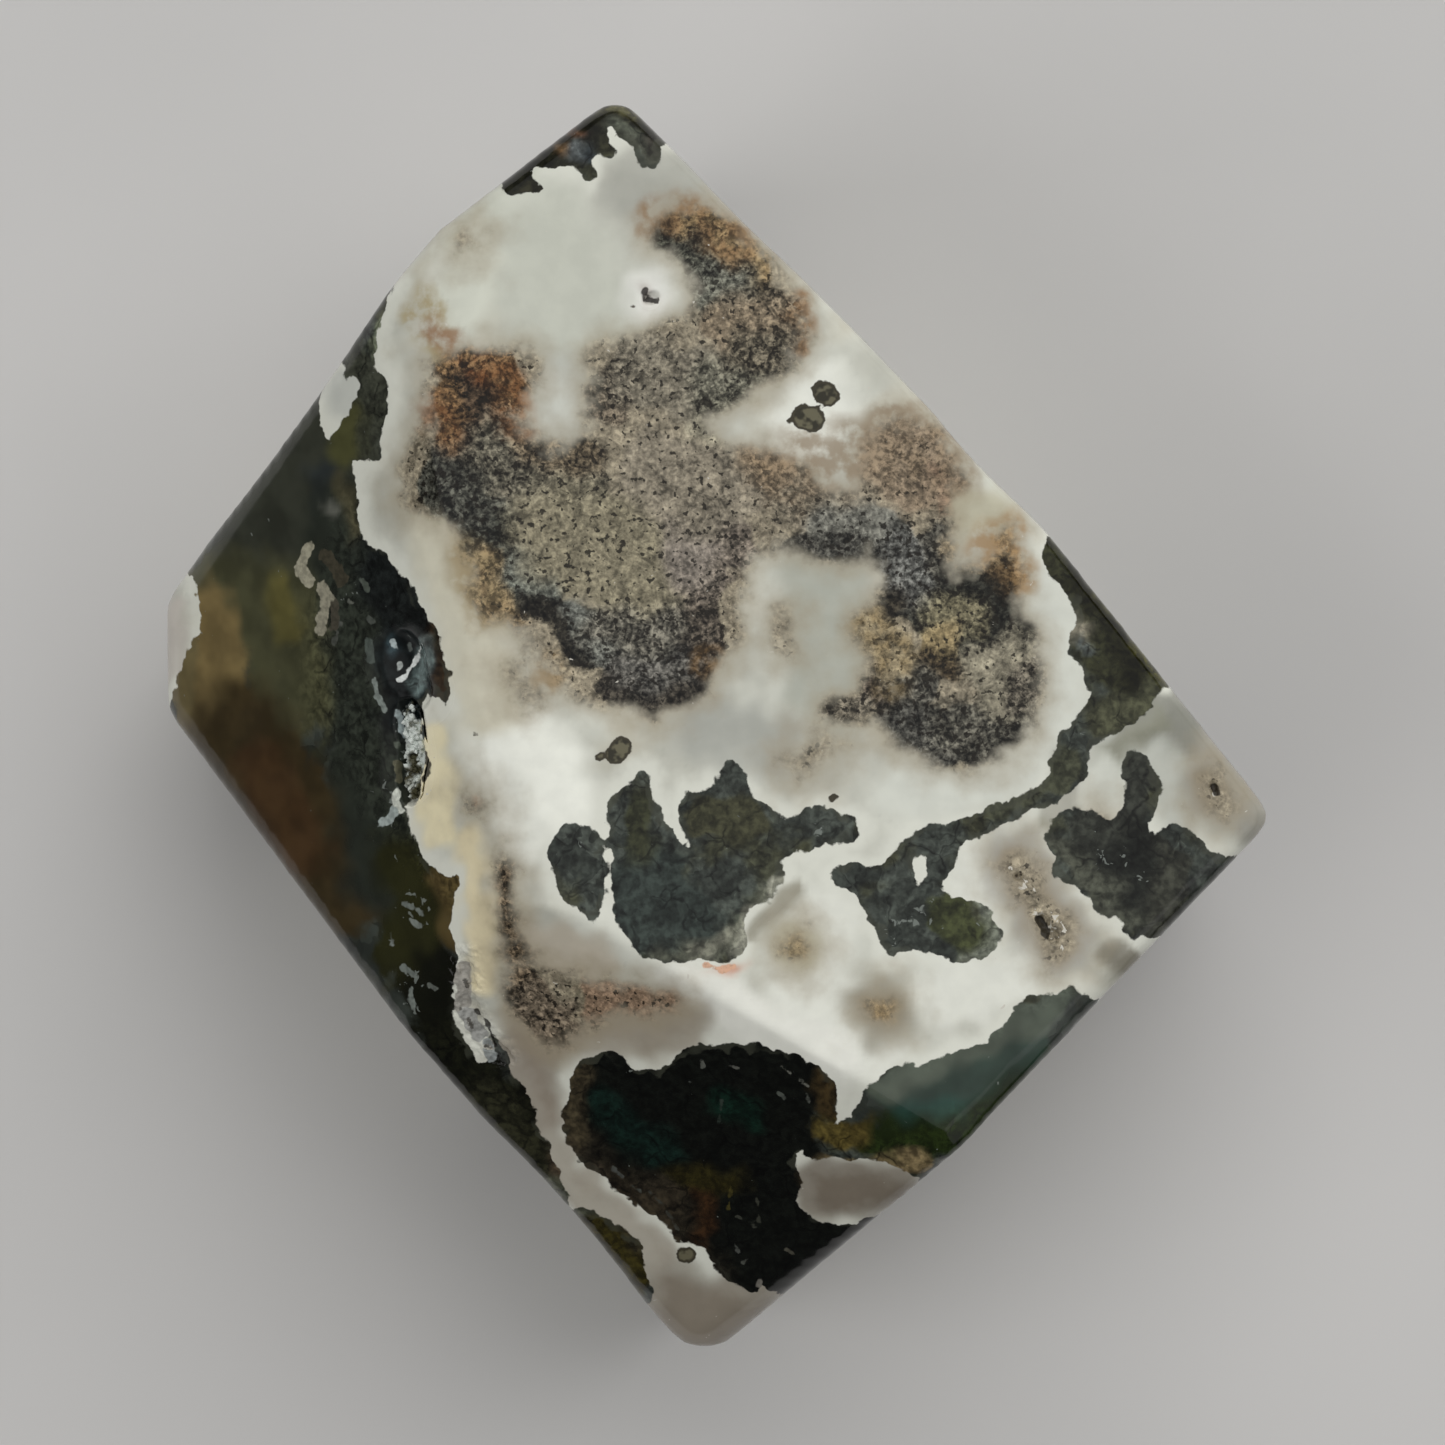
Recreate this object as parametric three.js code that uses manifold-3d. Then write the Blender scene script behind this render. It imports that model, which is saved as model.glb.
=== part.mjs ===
// A polished moss agate freeform: one stone with flat ground faces and softened edges, a small
// natural hollow in it, and the crust of quartz crystals that grew in that hollow. Millimetres,
// +Z up. The stone lies on its flat base, and the origin is the middle of its box, on the base.

import * as THREE from 'three';
import { ConvexGeometry } from 'three/addons/geometries/ConvexGeometry.js';
import { mergeVertices } from 'three/addons/utils/BufferGeometryUtils.js';
import Module from 'manifold-3d';

// The polished faces on top, in millimetres and degrees. Azimuth turns from +X towards +Y, tilt
// is how far a face leans away from level, and each face passes through one point of the top.
const TOP_HEIGHT = 28.9;
const TOP_FACE = { azimuth: 40, tilt: 5 };
const LEFT_FACE = { azimuth: 188, tilt: 40, at: [-12.8, 7] };
const FRONT_FACE = { azimuth: 242, tilt: 32, at: [-5.6, -10.5] };
const EDGE_BEVEL = { azimuth: -36, tilt: 28, at: [21.8, -12.4] };
const SHOULDER_RADIUS = 9;
const SHOULDER_STEPS = 4;

// The rim seen from above, corner by corner and anticlockwise. Round is how much a corner is
// softened, and the wall that starts at it stands leanIn further in at the base.
const RIM = [
  { corner: 'top tip', x: -4.9, y: 35.3, round: 1.5, leanIn: 3.0 },
  { corner: 'upper left bend', x: -14.4, y: 27.9, round: 1.6, leanIn: 1.8 },
  { corner: 'left corner, upper', x: -30.9, y: 7.8, round: 2.0, leanIn: 0.8 },
  { corner: 'left corner, lower', x: -30.9, y: 1.3, round: 2.0, leanIn: 0.4 },
  { corner: 'bottom tip', x: -0.3, y: -35.9, round: 2.4, leanIn: 1.2 },
  { corner: 'right tip', x: 31.2, y: -4.5, round: 1.3, leanIn: 3.2 },
  { corner: 'right bend', x: 18.8, y: 11.1, round: 1.2, leanIn: 2.8 },
  { corner: 'upper right bend', x: 9.1, y: 21.3, round: 1.2, leanIn: 2.6 },
];

// The ridge over the front face is nearly sharp, and the edge round the base is eased.
const CRISP_RIDGE_ENDS = [
  { x: -11, y: -8, round: 0.6 },
  { x: 15, y: -22, round: 0.6 },
];
const BASE_ROUND = 1.2;
const ARC_STEPS = 4;

// The rim dips in a little where the stone was pressed longer on the grinding wheel.
const RIM_DIPS = [
  { place: 'upper right edge', x: 2.1, y: 28.6, azimuth: 45, length: 15, depth: 0.5 },
  { place: 'right edge', x: 14.9, y: 15.1, azimuth: 43, length: 9, depth: 0.3 },
  { place: 'upper left edge', x: -24.0, y: 16.2, azimuth: 140, length: 19, depth: 0.35 },
  { place: 'lower left edge', x: -8.5, y: -25.9, azimuth: 221, length: 12, depth: 0.3 },
];

// The hollow by the soft shoulder: a smooth bowl, and below it a narrow cleft that the crystals
// line. Each is a row of egg shapes sunk in the surface, given by the place of the middle, the
// half sizes along, across and deep, and the way the long axis points.
const BOWL = [
  { x: -16.5, y: 3.9, azimuth: 100, along: 1.9, across: 1.5, deep: 1.0 },
  { x: -15.7, y: 2.4, azimuth: 70, along: 1.1, across: 0.9, deep: 0.7 },
];
const CLEFT = [
  { x: -16.4, y: 0.5, azimuth: 92, along: 1.6, across: 1.0, deep: 1.3 },
  { x: -16.2, y: -1.0, azimuth: 88, along: 1.6, across: 1.05, deep: 1.4 },
  { x: -16.4, y: -2.5, azimuth: 95, along: 1.5, across: 0.95, deep: 1.3 },
];

// A rough seam further down, where the surface drops along a small ledge, and pinholes.
const SEAM = [
  { x: -13.1, y: -12.9, azimuth: 95, along: 1.4, across: 0.45, deep: 0.35 },
  { x: -12.9, y: -15.1, azimuth: 100, along: 1.5, across: 0.6, deep: 0.4 },
  { x: -12.2, y: -16.6, azimuth: 125, along: 1.3, across: 0.55, deep: 0.45 },
  { x: -11.2, y: -17.5, azimuth: 128, along: 1.0, across: 0.4, deep: 0.6 },
];
const PITS = [
  { x: -3.0, y: 23.7, azimuth: 30, along: 0.5, across: 0.35, deep: 0.4 },
  { x: 18.3, y: -10.2, azimuth: 120, along: 0.6, across: 0.4, deep: 0.45 },
  { x: 18.8, y: -10.9, azimuth: 100, along: 0.5, across: 0.32, deep: 0.35 },
  { x: 16.9, y: -7.7, azimuth: 0, along: 0.3, across: 0.25, deep: 0.3 },
  { x: 27.6, y: -2.9, azimuth: 95, along: 0.5, across: 0.22, deep: 0.3 },
];
const EGG_SIDES = 14;
const EGG_RINGS = 10;

// The crust fills the bottom of the cleft, with a small gap all round it. Its six-sided pointed
// crystals lean a little from the cleft's own direction and end below the polished surface.
const CRUST_GAP = 0.36;
const CRUST_SINK = 0.5;
const CRYSTAL_COUNT = 15;
const CRYSTAL_SWAY = 0.12;
const CRYSTAL_RADIUS = 0.17;
const CRYSTAL_LENGTH = 0.52;
const CRYSTAL_ROOT = 0.1;
const CRYSTAL_LEAN = 14;
const GOLDEN_ANGLE = 137.5;

const radians = THREE.MathUtils.degToRad;

// A face is a THREE.Plane whose normal points out of the stone.
function facePlane({ azimuth, tilt }, point) {
  const normal = new THREE.Vector3(
    Math.sin(radians(tilt)) * Math.cos(radians(azimuth)),
    Math.sin(radians(tilt)) * Math.sin(radians(azimuth)),
    Math.cos(radians(tilt)),
  );
  return new THREE.Plane().setFromNormalAndCoplanarPoint(normal, point);
}

function heightOn(plane, x, y) {
  return -(plane.constant + plane.normal.x * x + plane.normal.y * y) / plane.normal.z;
}

function pointOn(plane, [x, y]) {
  return new THREE.Vector3(x, y, heightOn(plane, x, y));
}

function movedIn(plane, distance) {
  return new THREE.Plane(plane.normal, plane.constant + distance);
}

// The one point that three planes share, or null where two of them are nearly parallel.
function meetingPoint(a, b, c) {
  const acrossBC = b.normal.clone().cross(c.normal);
  const share = a.normal.dot(acrossBC);
  if (Math.abs(share) < 1e-5) {
    return null;
  }
  const acrossCA = c.normal.clone().cross(a.normal);
  const acrossAB = a.normal.clone().cross(b.normal);
  return acrossBC
    .multiplyScalar(-a.constant)
    .addScaledVector(acrossCA, -b.constant)
    .addScaledVector(acrossAB, -c.constant)
    .divideScalar(share);
}

// A soft shoulder between two faces: narrow flats that all touch one long cylinder.
function shoulderFlats(first, second) {
  const along = first.normal.clone().cross(second.normal).normalize();
  const axisPoint = meetingPoint(
    movedIn(first, SHOULDER_RADIUS),
    movedIn(second, SHOULDER_RADIUS),
    new THREE.Plane(along, 0),
  );
  const flats = [];
  for (let step = 1; step < SHOULDER_STEPS; step += 1) {
    const normal = first.normal.clone();
    normal.lerp(second.normal, step / SHOULDER_STEPS).normalize();
    const touchingPoint = axisPoint.clone().addScaledVector(normal, SHOULDER_RADIUS);
    flats.push(new THREE.Plane().setFromNormalAndCoplanarPoint(normal, touchingPoint));
  }
  return flats;
}

const top = facePlane(TOP_FACE, new THREE.Vector3(0, 0, TOP_HEIGHT));
const left = facePlane(LEFT_FACE, pointOn(top, LEFT_FACE.at));
const front = facePlane(FRONT_FACE, pointOn(top, FRONT_FACE.at));
const bevel = facePlane(EDGE_BEVEL, pointOn(top, EDGE_BEVEL.at));
const upperFaces = [top, left, front, bevel, ...shoulderFlats(top, left)];

function rimHeight(x, y) {
  return Math.min(...upperFaces.map((face) => heightOn(face, x, y)));
}

// A wall passes through two neighbouring rim corners and leans in towards the base.
function wallFrom(corner, nextCorner) {
  const start = new THREE.Vector3(corner.x, corner.y, rimHeight(corner.x, corner.y));
  const end = new THREE.Vector3(nextCorner.x, nextCorner.y, rimHeight(nextCorner.x, nextCorner.y));
  const outward = new THREE.Vector3(end.y - start.y, start.x - end.x, 0).normalize();
  const foot = start.clone().lerp(end, 0.5).setZ(0).addScaledVector(outward, -corner.leanIn);
  return new THREE.Plane().setFromCoplanarPoints(start, foot, end);
}

const walls = RIM.map((corner, index) => wallFrom(corner, RIM[(index + 1) % RIM.length]));
const base = new THREE.Plane(new THREE.Vector3(0, 0, -1), 0);
const faces = [...upperFaces, ...walls, base];

// How much the stone is softened at one of its corners: as the nearest named place says.
function roundingAt(point) {
  if (point.z < BASE_ROUND) {
    return BASE_ROUND;
  }
  const places = [...RIM, ...CRISP_RIDGE_ENDS];
  const distances = places.map((place) => Math.hypot(place.x - point.x, place.y - point.y));
  return places[distances.indexOf(Math.min(...distances))].round;
}

// The softened corner is a patch of a small ball between the ways its three faces look.
function cornerPatch(corner) {
  const round = roundingAt(meetingPoint(...corner));
  const centre = meetingPoint(...corner.map((face) => movedIn(face, round)));
  const points = [];
  for (let i = 0; i <= ARC_STEPS; i += 1) {
    for (let j = 0; j <= ARC_STEPS - i; j += 1) {
      const way = new THREE.Vector3()
        .addScaledVector(corner[0].normal, i)
        .addScaledVector(corner[1].normal, j)
        .addScaledVector(corner[2].normal, ARC_STEPS - i - j)
        .normalize();
      points.push(centre.clone().addScaledVector(way, round));
    }
  }
  return points;
}

// Every corner of the solid that all the faces bound.
function solidCorners() {
  const slack = 1e-4;
  const corners = [];
  for (let i = 0; i < faces.length; i += 1) {
    for (let j = i + 1; j < faces.length; j += 1) {
      for (let k = j + 1; k < faces.length; k += 1) {
        const corner = [faces[i], faces[j], faces[k]];
        const point = meetingPoint(...corner);
        if (point && faces.every((face) => face.distanceToPoint(point) < slack)) {
          corners.push(corner);
        }
      }
    }
  }
  return corners;
}

const wasm = await Module();
wasm.setup();

// Turns a closed geometry into a solid that can be joined and cut.
function solidFrom(geometry) {
  const bare = new THREE.BufferGeometry();
  const source = geometry.index ? geometry.toNonIndexed() : geometry;
  bare.setAttribute('position', source.getAttribute('position').clone());
  const merged = mergeVertices(bare, 1e-5);
  return new wasm.Manifold(new wasm.Mesh({
    numProp: 3,
    vertProperties: new Float32Array(merged.getAttribute('position').array),
    triVerts: new Uint32Array(merged.index.array),
  }));
}

// Turns a finished solid back into a geometry with shaded faces.
function geometryFrom(solid) {
  const mesh = solid.getMesh();
  const geometry = new THREE.BufferGeometry();
  geometry.setAttribute('position', new THREE.BufferAttribute(mesh.vertProperties, 3));
  geometry.setIndex(new THREE.BufferAttribute(mesh.triVerts, 1));
  geometry.computeVertexNormals();
  return geometry;
}

// A dip is cut by a wide upright cylinder that only just reaches over the rim.
function dipCutter({ x, y, azimuth, length, depth }) {
  const radius = (length * length / 4 + depth * depth) / (2 * depth);
  const sides = Math.round(2 * Math.PI * radius / 2);
  const reach = radius - depth;
  const height = 3 * TOP_HEIGHT;
  const cutter = new THREE.CylinderGeometry(radius, radius, height, sides);
  cutter.rotateX(Math.PI / 2);
  cutter.translate(
    x + reach * Math.cos(radians(azimuth)),
    y + reach * Math.sin(radians(azimuth)),
    TOP_HEIGHT / 2,
  );
  return solidFrom(cutter);
}

// Stands a matrix on the surface: x along the azimuth, z out of the stone.
function surfaceFrame({ x, y, azimuth }) {
  const heights = upperFaces.map((face) => heightOn(face, x, y));
  const face = upperFaces[heights.indexOf(Math.min(...heights))];
  const outward = face.normal.clone();
  const way = new THREE.Vector3(Math.cos(radians(azimuth)), Math.sin(radians(azimuth)), 0);
  const across = outward.clone().cross(way).normalize();
  const along = across.clone().cross(outward);
  return new THREE.Matrix4()
    .makeBasis(along, across, outward)
    .setPosition(pointOn(face, [x, y]));
}

// An egg shape half sunk in the surface, smaller by a set amount all round where asked.
function eggSolid(place, smaller = 0) {
  const egg = new THREE.SphereGeometry(1, EGG_SIDES, EGG_RINGS);
  egg.rotateX(Math.PI / 2);
  egg.scale(place.along - smaller, place.across - smaller, place.deep - smaller);
  egg.applyMatrix4(surfaceFrame(place));
  return solidFrom(egg);
}

// Crystals follow each other down the cleft and each is turned on by the golden angle.
function crystalSolid(index) {
  const share = (index + 0.5) / CRYSTAL_COUNT;
  const turn = radians(GOLDEN_ANGLE * index);
  const growth = 0.85 + 0.15 * Math.cos(3 * turn);
  const outline = [
    new THREE.Vector2(0, 0),
    new THREE.Vector2(CRYSTAL_RADIUS * growth, 0),
    new THREE.Vector2(CRYSTAL_RADIUS * growth, CRYSTAL_LENGTH * growth * 0.6),
    new THREE.Vector2(0, CRYSTAL_LENGTH * growth),
  ];
  const crystal = new THREE.LatheGeometry(outline, 6);
  crystal.rotateX(Math.PI / 2);
  crystal.rotateZ(turn);
  const leanAxis = new THREE.Vector3(Math.cos(turn), Math.sin(turn), 0);
  crystal.applyMatrix4(new THREE.Matrix4().makeRotationAxis(leanAxis, radians(CRYSTAL_LEAN)));
  const first = CLEFT[0];
  const last = CLEFT[CLEFT.length - 1];
  const frame = surfaceFrame({
    x: THREE.MathUtils.lerp(first.x, last.x, share) + CRYSTAL_SWAY * Math.sin(turn),
    y: THREE.MathUtils.lerp(first.y + 0.5, last.y - 0.5, share),
    azimuth: 90,
  });
  crystal.translate(0, 0, -CRUST_SINK - CRYSTAL_ROOT);
  crystal.applyMatrix4(frame);
  return solidFrom(crystal);
}

// The crust is the cleft's own shape made smaller, without its skin, and the crystals on it.
function crustSolid() {
  const skin = new THREE.BoxGeometry(12, 12, 12);
  skin.translate(0, 0, 6 - CRUST_SINK);
  skin.applyMatrix4(surfaceFrame(CLEFT[1]));
  let crust = CLEFT
    .map((place) => eggSolid(place, CRUST_GAP))
    .reduce((joined, egg) => joined.add(egg))
    .subtract(solidFrom(skin));
  for (let index = 0; index < CRYSTAL_COUNT; index += 1) {
    crust = crust.add(crystalSolid(index));
  }
  return crust;
}

const roughPoints = solidCorners().flatMap(cornerPatch);
const roughStone = solidFrom(new ConvexGeometry(roughPoints));
const cutters = [
  ...RIM_DIPS.map(dipCutter),
  ...[...BOWL, ...CLEFT, ...SEAM, ...PITS].map((place) => eggSolid(place)),
];
const stoneSolid = cutters.reduce((solid, cutter) => solid.subtract(cutter), roughStone);

const stone = new THREE.Mesh(
  geometryFrom(stoneSolid),
  new THREE.MeshStandardMaterial({ color: 0xcfcdc2, roughness: 0.12, metalness: 0 }),
);
stone.name = 'stone';

const crystals = new THREE.Mesh(
  geometryFrom(crustSolid()),
  new THREE.MeshStandardMaterial({ color: 0xb4b8b2, roughness: 0.2, metalness: 0 }),
);
crystals.name = 'vug_crystals';

const mossAgate = new THREE.Group();
mossAgate.name = 'moss_agate';
mossAgate.add(stone, crystals);
const boxMiddle = new THREE.Box3().setFromObject(mossAgate).getCenter(new THREE.Vector3());
mossAgate.position.set(-boxMiddle.x, -boxMiddle.y, 0);

export default mossAgate;
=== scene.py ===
# A polished moss agate freeform, about 62 by 69 by 30 mm, lying on its flat ground base.
import math

import bmesh
import bpy
import numpy as np
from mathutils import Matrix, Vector, noise
from mathutils.bvhtree import BVHTree
from mathutils.kdtree import KDTree


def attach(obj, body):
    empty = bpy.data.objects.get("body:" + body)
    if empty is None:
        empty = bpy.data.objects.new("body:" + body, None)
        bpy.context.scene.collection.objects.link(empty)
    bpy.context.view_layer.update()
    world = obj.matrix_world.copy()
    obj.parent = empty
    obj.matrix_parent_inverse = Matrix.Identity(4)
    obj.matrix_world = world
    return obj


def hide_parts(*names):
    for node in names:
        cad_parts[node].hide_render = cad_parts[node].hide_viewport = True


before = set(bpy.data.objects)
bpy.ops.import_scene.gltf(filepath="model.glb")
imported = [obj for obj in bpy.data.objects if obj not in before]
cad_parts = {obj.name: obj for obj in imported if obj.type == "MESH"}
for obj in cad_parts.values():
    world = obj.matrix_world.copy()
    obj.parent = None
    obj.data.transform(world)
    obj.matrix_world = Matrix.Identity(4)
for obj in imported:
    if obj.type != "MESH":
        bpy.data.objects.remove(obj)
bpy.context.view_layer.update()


# The stone's skin. The stone is one lump of moss agate that grew as one piece. It was ground to
# a few flat faces, its ridges and rim were eased by hand, and it was polished all over.
# The lengths below are in millimetres, and MM turns them into Blender's metres. A stroke is
# (radius, path), and a chip, or a mark of painted highlight, glint or shade, is (screen colour
# from 0 to 255, radius, path), seen from above.
MM = 0.001
WALL_STEP = 0.6
CRISP_RIDGE = [(-11.0, -8.0), (15.0, -22.0)]
CRISP_RIDGE_KEEP = 1.6
BOWL = [(2.5, [(-16.5, 3.9), (-15.7, 2.4)])]
CLEFT = [(1.9, [(-16.4, 0.5), (-16.2, -1.0), (-16.4, -2.5)])]
SEAM = [(1.2, [(-13.1, -12.2), (-12.9, -15.1), (-12.2, -16.6), (-11.2, -17.5)])]
PINHOLES = [(0.9, [(-3.0, 23.7)]), (1.1, [(18.3, -10.2), (18.8, -10.9)]), (0.8, [(16.9, -7.7)]),
            (0.9, [(27.6, -2.9)])]
HOLLOW_FADE = 0.6
SEAM_SHARE = 0.55
BOWL_SHARE = 0.6
ROCK_ROUGHNESS = 0.11
ROCK_SIZE = 0.45
FACES_UP = 0.2
ABOVE_THE_STONE = 60.0
POLISH_PASSES = 7
MARK_MARGIN = 0.3
CHIPS_AND_PAINTED_LIGHT = [
    # the pale tan patch of the left face, and the flecks between it and the bowl
    ((162, 158, 138), 0.35, [(-22.0, 10.4), (-22.3, 9.7), (-22.5, 9.2), (-22.0, 8.5)]),
    ((66, 62, 50), 0.38, [(-21.0, 9.9), (-20.4, 9.2), (-20.0, 8.5)]),
    ((150, 146, 128), 0.33, [(-21.2, 8.2), (-20.9, 7.6), (-21.1, 6.8), (-21.3, 5.8)]),
    ((72, 68, 58), 0.24, [(-20.5, 7.2), (-20.5, 5.9)]),
    ((96, 98, 90), 0.18, [(-19.5, 7.3)]), ((80, 86, 78), 0.15, [(-18.8, 8.6), (-18.6, 8.0)]),
    ((84, 86, 80), 0.13, [(-20.1, 6.1)]), ((78, 82, 76), 0.15, [(-18.5, 6.4), (-18.3, 6.3)]),
    ((74, 76, 70), 0.14, [(-20.3, 5.7), (-20.5, 5.1)]),
    ((82, 90, 84), 0.27, [(-18.5, 5.1), (-18.4, 4.2)]),
    ((132, 140, 134), 0.15, [(-18.2, 3.0), (-18.0, 2.2), (-17.6, 1.3)]),
    ((84, 90, 80), 0.17, [(-16.9, -0.5)]),
    # the bowl's painted highlight, a small bright spot and a white crescent, a grey fleck beside it,
    # and milky rock below the cleft
    ((196, 208, 208), 0.14, [(-17.1, 5.2), (-17.0, 4.9)]),
    ((226, 230, 226), 0.09, [(-15.5, 4.9), (-15.7, 4.4), (-16.4, 3.3), (-16.8, 3.0)]),
    ((226, 230, 226), 0.15, [(-15.7, 4.4), (-15.9, 4.0), (-16.3, 3.5)]),
    ((176, 182, 178), 0.10, [(-16.7, 3.9), (-16.9, 3.5)]),
    ((98, 104, 100), 0.11, [(-16.2, 5.0), (-16.1, 4.7)]),
    ((176, 188, 188), 0.20, [(-16.8, 1.2), (-16.7, 0.5), (-16.4, 0.0)]),
    ((206, 210, 202), 0.18, [(-16.3, -0.2), (-16.1, -0.8)]),
    ((104, 102, 82), 0.24, [(-16.9, -1.6), (-16.8, -2.4)]),
    # painted shade: a near-black line in the gap on the cleft's right side
    ((22, 20, 15), 0.16, [(-15.3, -1.0), (-15.1, -1.6), (-15.3, -2.4)]),
    ((214, 218, 206), 0.22, [(-16.9, -3.1), (-17.0, -3.6), (-16.7, -4.1)]),
    ((166, 176, 172), 0.27, [(-17.1, -4.2), (-17.4, -4.7), (-17.8, -4.8)]),
    # painted glints further down the left face, where small bumps catch the light
    ((112, 118, 112), 0.14, [(-16.5, -9.3), (-16.0, -9.5), (-15.5, -9.8)]),
    ((120, 126, 120), 0.13, [(-16.2, -10.1), (-15.7, -10.4)]),
    ((130, 136, 132), 0.14, [(-17.3, -11.0), (-17.2, -11.5)]),
    ((112, 118, 112), 0.15, [(-16.6, -12.8), (-16.0, -13.2)]),
    ((120, 126, 120), 0.14, [(-16.2, -14.0), (-16.1, -15.0)]),
    ((100, 104, 98), 0.12, [(-15.1, -13.7), (-14.7, -13.9)]),
    # the milky rock of the seam, a near-black line of painted shade along its crack, and its dark
    # specks
    ((160, 156, 148), 0.46, [(-13.2, -12.8), (-13.2, -13.9), (-13.3, -14.7)]),
    ((156, 156, 152), 0.43, [(-13.1, -15.3), (-12.7, -16.0), (-12.3, -16.5)]),
    ((140, 145, 144), 0.33, [(-12.0, -16.9), (-11.8, -17.6)]),
    ((26, 22, 18), 0.11, [(-12.5, -15.1), (-12.0, -15.7), (-11.7, -16.5), (-11.5, -17.1)]),
    ((58, 54, 50), 0.13, [(-13.1, -13.4), (-13.0, -13.7)]),
    ((64, 60, 56), 0.12, [(-13.0, -15.6), (-12.8, -16.0)]),
    ((60, 58, 54), 0.14, [(-12.1, -17.1), (-11.8, -17.2)]), ((70, 66, 60), 0.10, [(-13.4, -15.0)]),
    # flecks and veins in the black patch
    ((104, 108, 102), 0.09, [(-0.8, -18.9)]), ((88, 90, 84), 0.07, [(-0.2, -17.7), (-0.1, -18.0)]),
    ((90, 90, 84), 0.07, [(1.3, -17.9), (1.8, -18.1)]),
    ((104, 104, 96), 0.07, [(4.1, -17.9), (4.6, -18.3)]),
    ((104, 104, 96), 0.06, [(5.1, -18.7), (5.6, -19.0)]),
    ((78, 80, 74), 0.08, [(5.5, -19.4), (5.6, -19.9)]),
    ((78, 82, 76), 0.08, [(4.0, -19.4), (4.3, -19.7)]),
    ((72, 74, 70), 0.05, [(1.6, -28.1), (1.8, -28.6)]),
    ((76, 74, 64), 0.10, [(4.5, -28.4), (4.8, -28.6)]),
    ((72, 74, 68), 0.05, [(2.1, -29.2), (2.3, -29.0)]),
    ((118, 114, 106), 0.14, [(3.0, -30.3), (3.0, -30.6)]),
    ((74, 76, 72), 0.08, [(-5.1, -24.0), (-4.6, -24.4)]),
    ((70, 72, 66), 0.09, [(-4.1, -24.9), (-3.6, -25.2)]),
    ((58, 58, 52), 0.06, [(-3.1, -25.3), (-2.3, -26.0), (-1.8, -27.0), (-1.5, -27.4)]),
    ((54, 55, 47), 0.05, [(2.8, -25.3), (3.0, -26.9)]),
    ((56, 57, 50), 0.05, [(1.7, -26.6), (2.2, -26.7), (2.8, -27.2)]),
    ((64, 58, 26), 0.05, [(1.4, -24.9), (1.3, -26.2)]),
    ((46, 54, 48), 0.04, [(0.9, -19.9), (0.7, -21.2)]),
    # a salmon strip on the pale front, and the dark bottoms of the pinholes
    ((204, 160, 132), 0.16, [(0.1, -12.4), (0.8, -12.7), (1.6, -12.4)]),
    ((38, 32, 28), 0.19, [(-3.3, 24.1)]), ((34, 29, 26), 0.20, [(-3.1, 23.7), (-2.7, 23.6)]),
    ((66, 56, 48), 0.10, [(-3.9, 23.3)]), ((30, 26, 20), 0.24, [(18.1, -9.9), (18.5, -10.8)]),
    ((60, 52, 42), 0.14, [(16.9, -7.6)]), ((36, 31, 24), 0.17, [(27.7, -2.8), (27.8, -3.2)]),
]


def merged_copy(node):
    """A bmesh of a CAD node, with its loose triangles joined."""
    joined = bmesh.new()
    joined.from_mesh(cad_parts[node].data)
    bmesh.ops.remove_doubles(joined, verts=joined.verts, dist=0.002 * MM)
    return joined


def even_net(rough, step):
    """A mesh of the same solid, in even faces about step millimetres wide."""
    mesh = bpy.data.meshes.new("rough_stone")
    rough.to_mesh(mesh)
    holder = bpy.data.objects.new("rough_stone", mesh)
    bpy.context.scene.collection.objects.link(holder)
    remesh = holder.modifiers.new("even_net", "REMESH")
    remesh.mode = "VOXEL"
    remesh.voxel_size = step * MM
    depsgraph = bpy.context.evaluated_depsgraph_get()
    even = bpy.data.meshes.new_from_object(holder.evaluated_get(depsgraph))
    bpy.data.objects.remove(holder)
    bpy.data.meshes.remove(mesh)
    return even


def path_distance(spots, path):
    """Distance from each (x, y) spot to the nearest point of a path."""
    nearest = np.full(len(spots), np.inf)
    starts = path[:-1] if len(path) > 1 else path
    ends = path[1:] if len(path) > 1 else path
    for start, end in zip(np.array(starts, float), np.array(ends, float)):
        run = end - start
        along = (spots - start) @ run / max(run @ run, 1e-9)
        foot = start + np.clip(along, 0.0, 1.0)[:, None] * run
        nearest = np.minimum(nearest, np.hypot(*(spots - foot).T))
    return nearest


def depth_in_strokes(spots, strokes):
    """How far inside the nearest stroke each (x, y) spot lies, negative outside them all."""
    depth = np.full(len(spots), -np.inf)
    for radius, path in strokes:
        depth = np.maximum(depth, radius - path_distance(spots, path))
    return depth


def eased(values, low, high):
    """0 below low, 1 above high, and a smooth rise between them."""
    share = np.clip((values - low) / (high - low), 0.0, 1.0)
    return share * share * (3.0 - 2.0 * share)


def patchiness(points, size, place):
    """Slow natural variation in three dimensions, about -1 to 1, from a fixed place in it."""
    return np.array([noise.fractal(Vector(point) / size + place, 1.0, 2.0, 4) for point in points])


def split_in_four(skin, faces):
    """Splits the faces in four, and leaves no face with more than four corners."""
    edges = {edge for face in faces for edge in face.edges}
    bmesh.ops.subdivide_edges(skin, edges=list(edges), cuts=1, use_grid_fill=True)
    many_sided = [face for face in skin.faces if len(face.verts) > 4]
    bmesh.ops.triangulate(skin, faces=many_sided)
    skin.normal_update()


def faces_near(skin, strokes):
    """The faces that face up inside the strokes, seen from above."""
    faces = [face for face in skin.faces if face.normal.z > FACES_UP]
    middles = np.array([face.calc_center_median().xy for face in faces]) / MM
    inside = depth_in_strokes(middles, strokes) > 0.0
    return [face for face, wanted in zip(faces, inside) if wanted]


def places_of(skin):
    """The places of a bmesh's points in millimetres."""
    return np.array([vert.co for vert in skin.verts]) / MM


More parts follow.
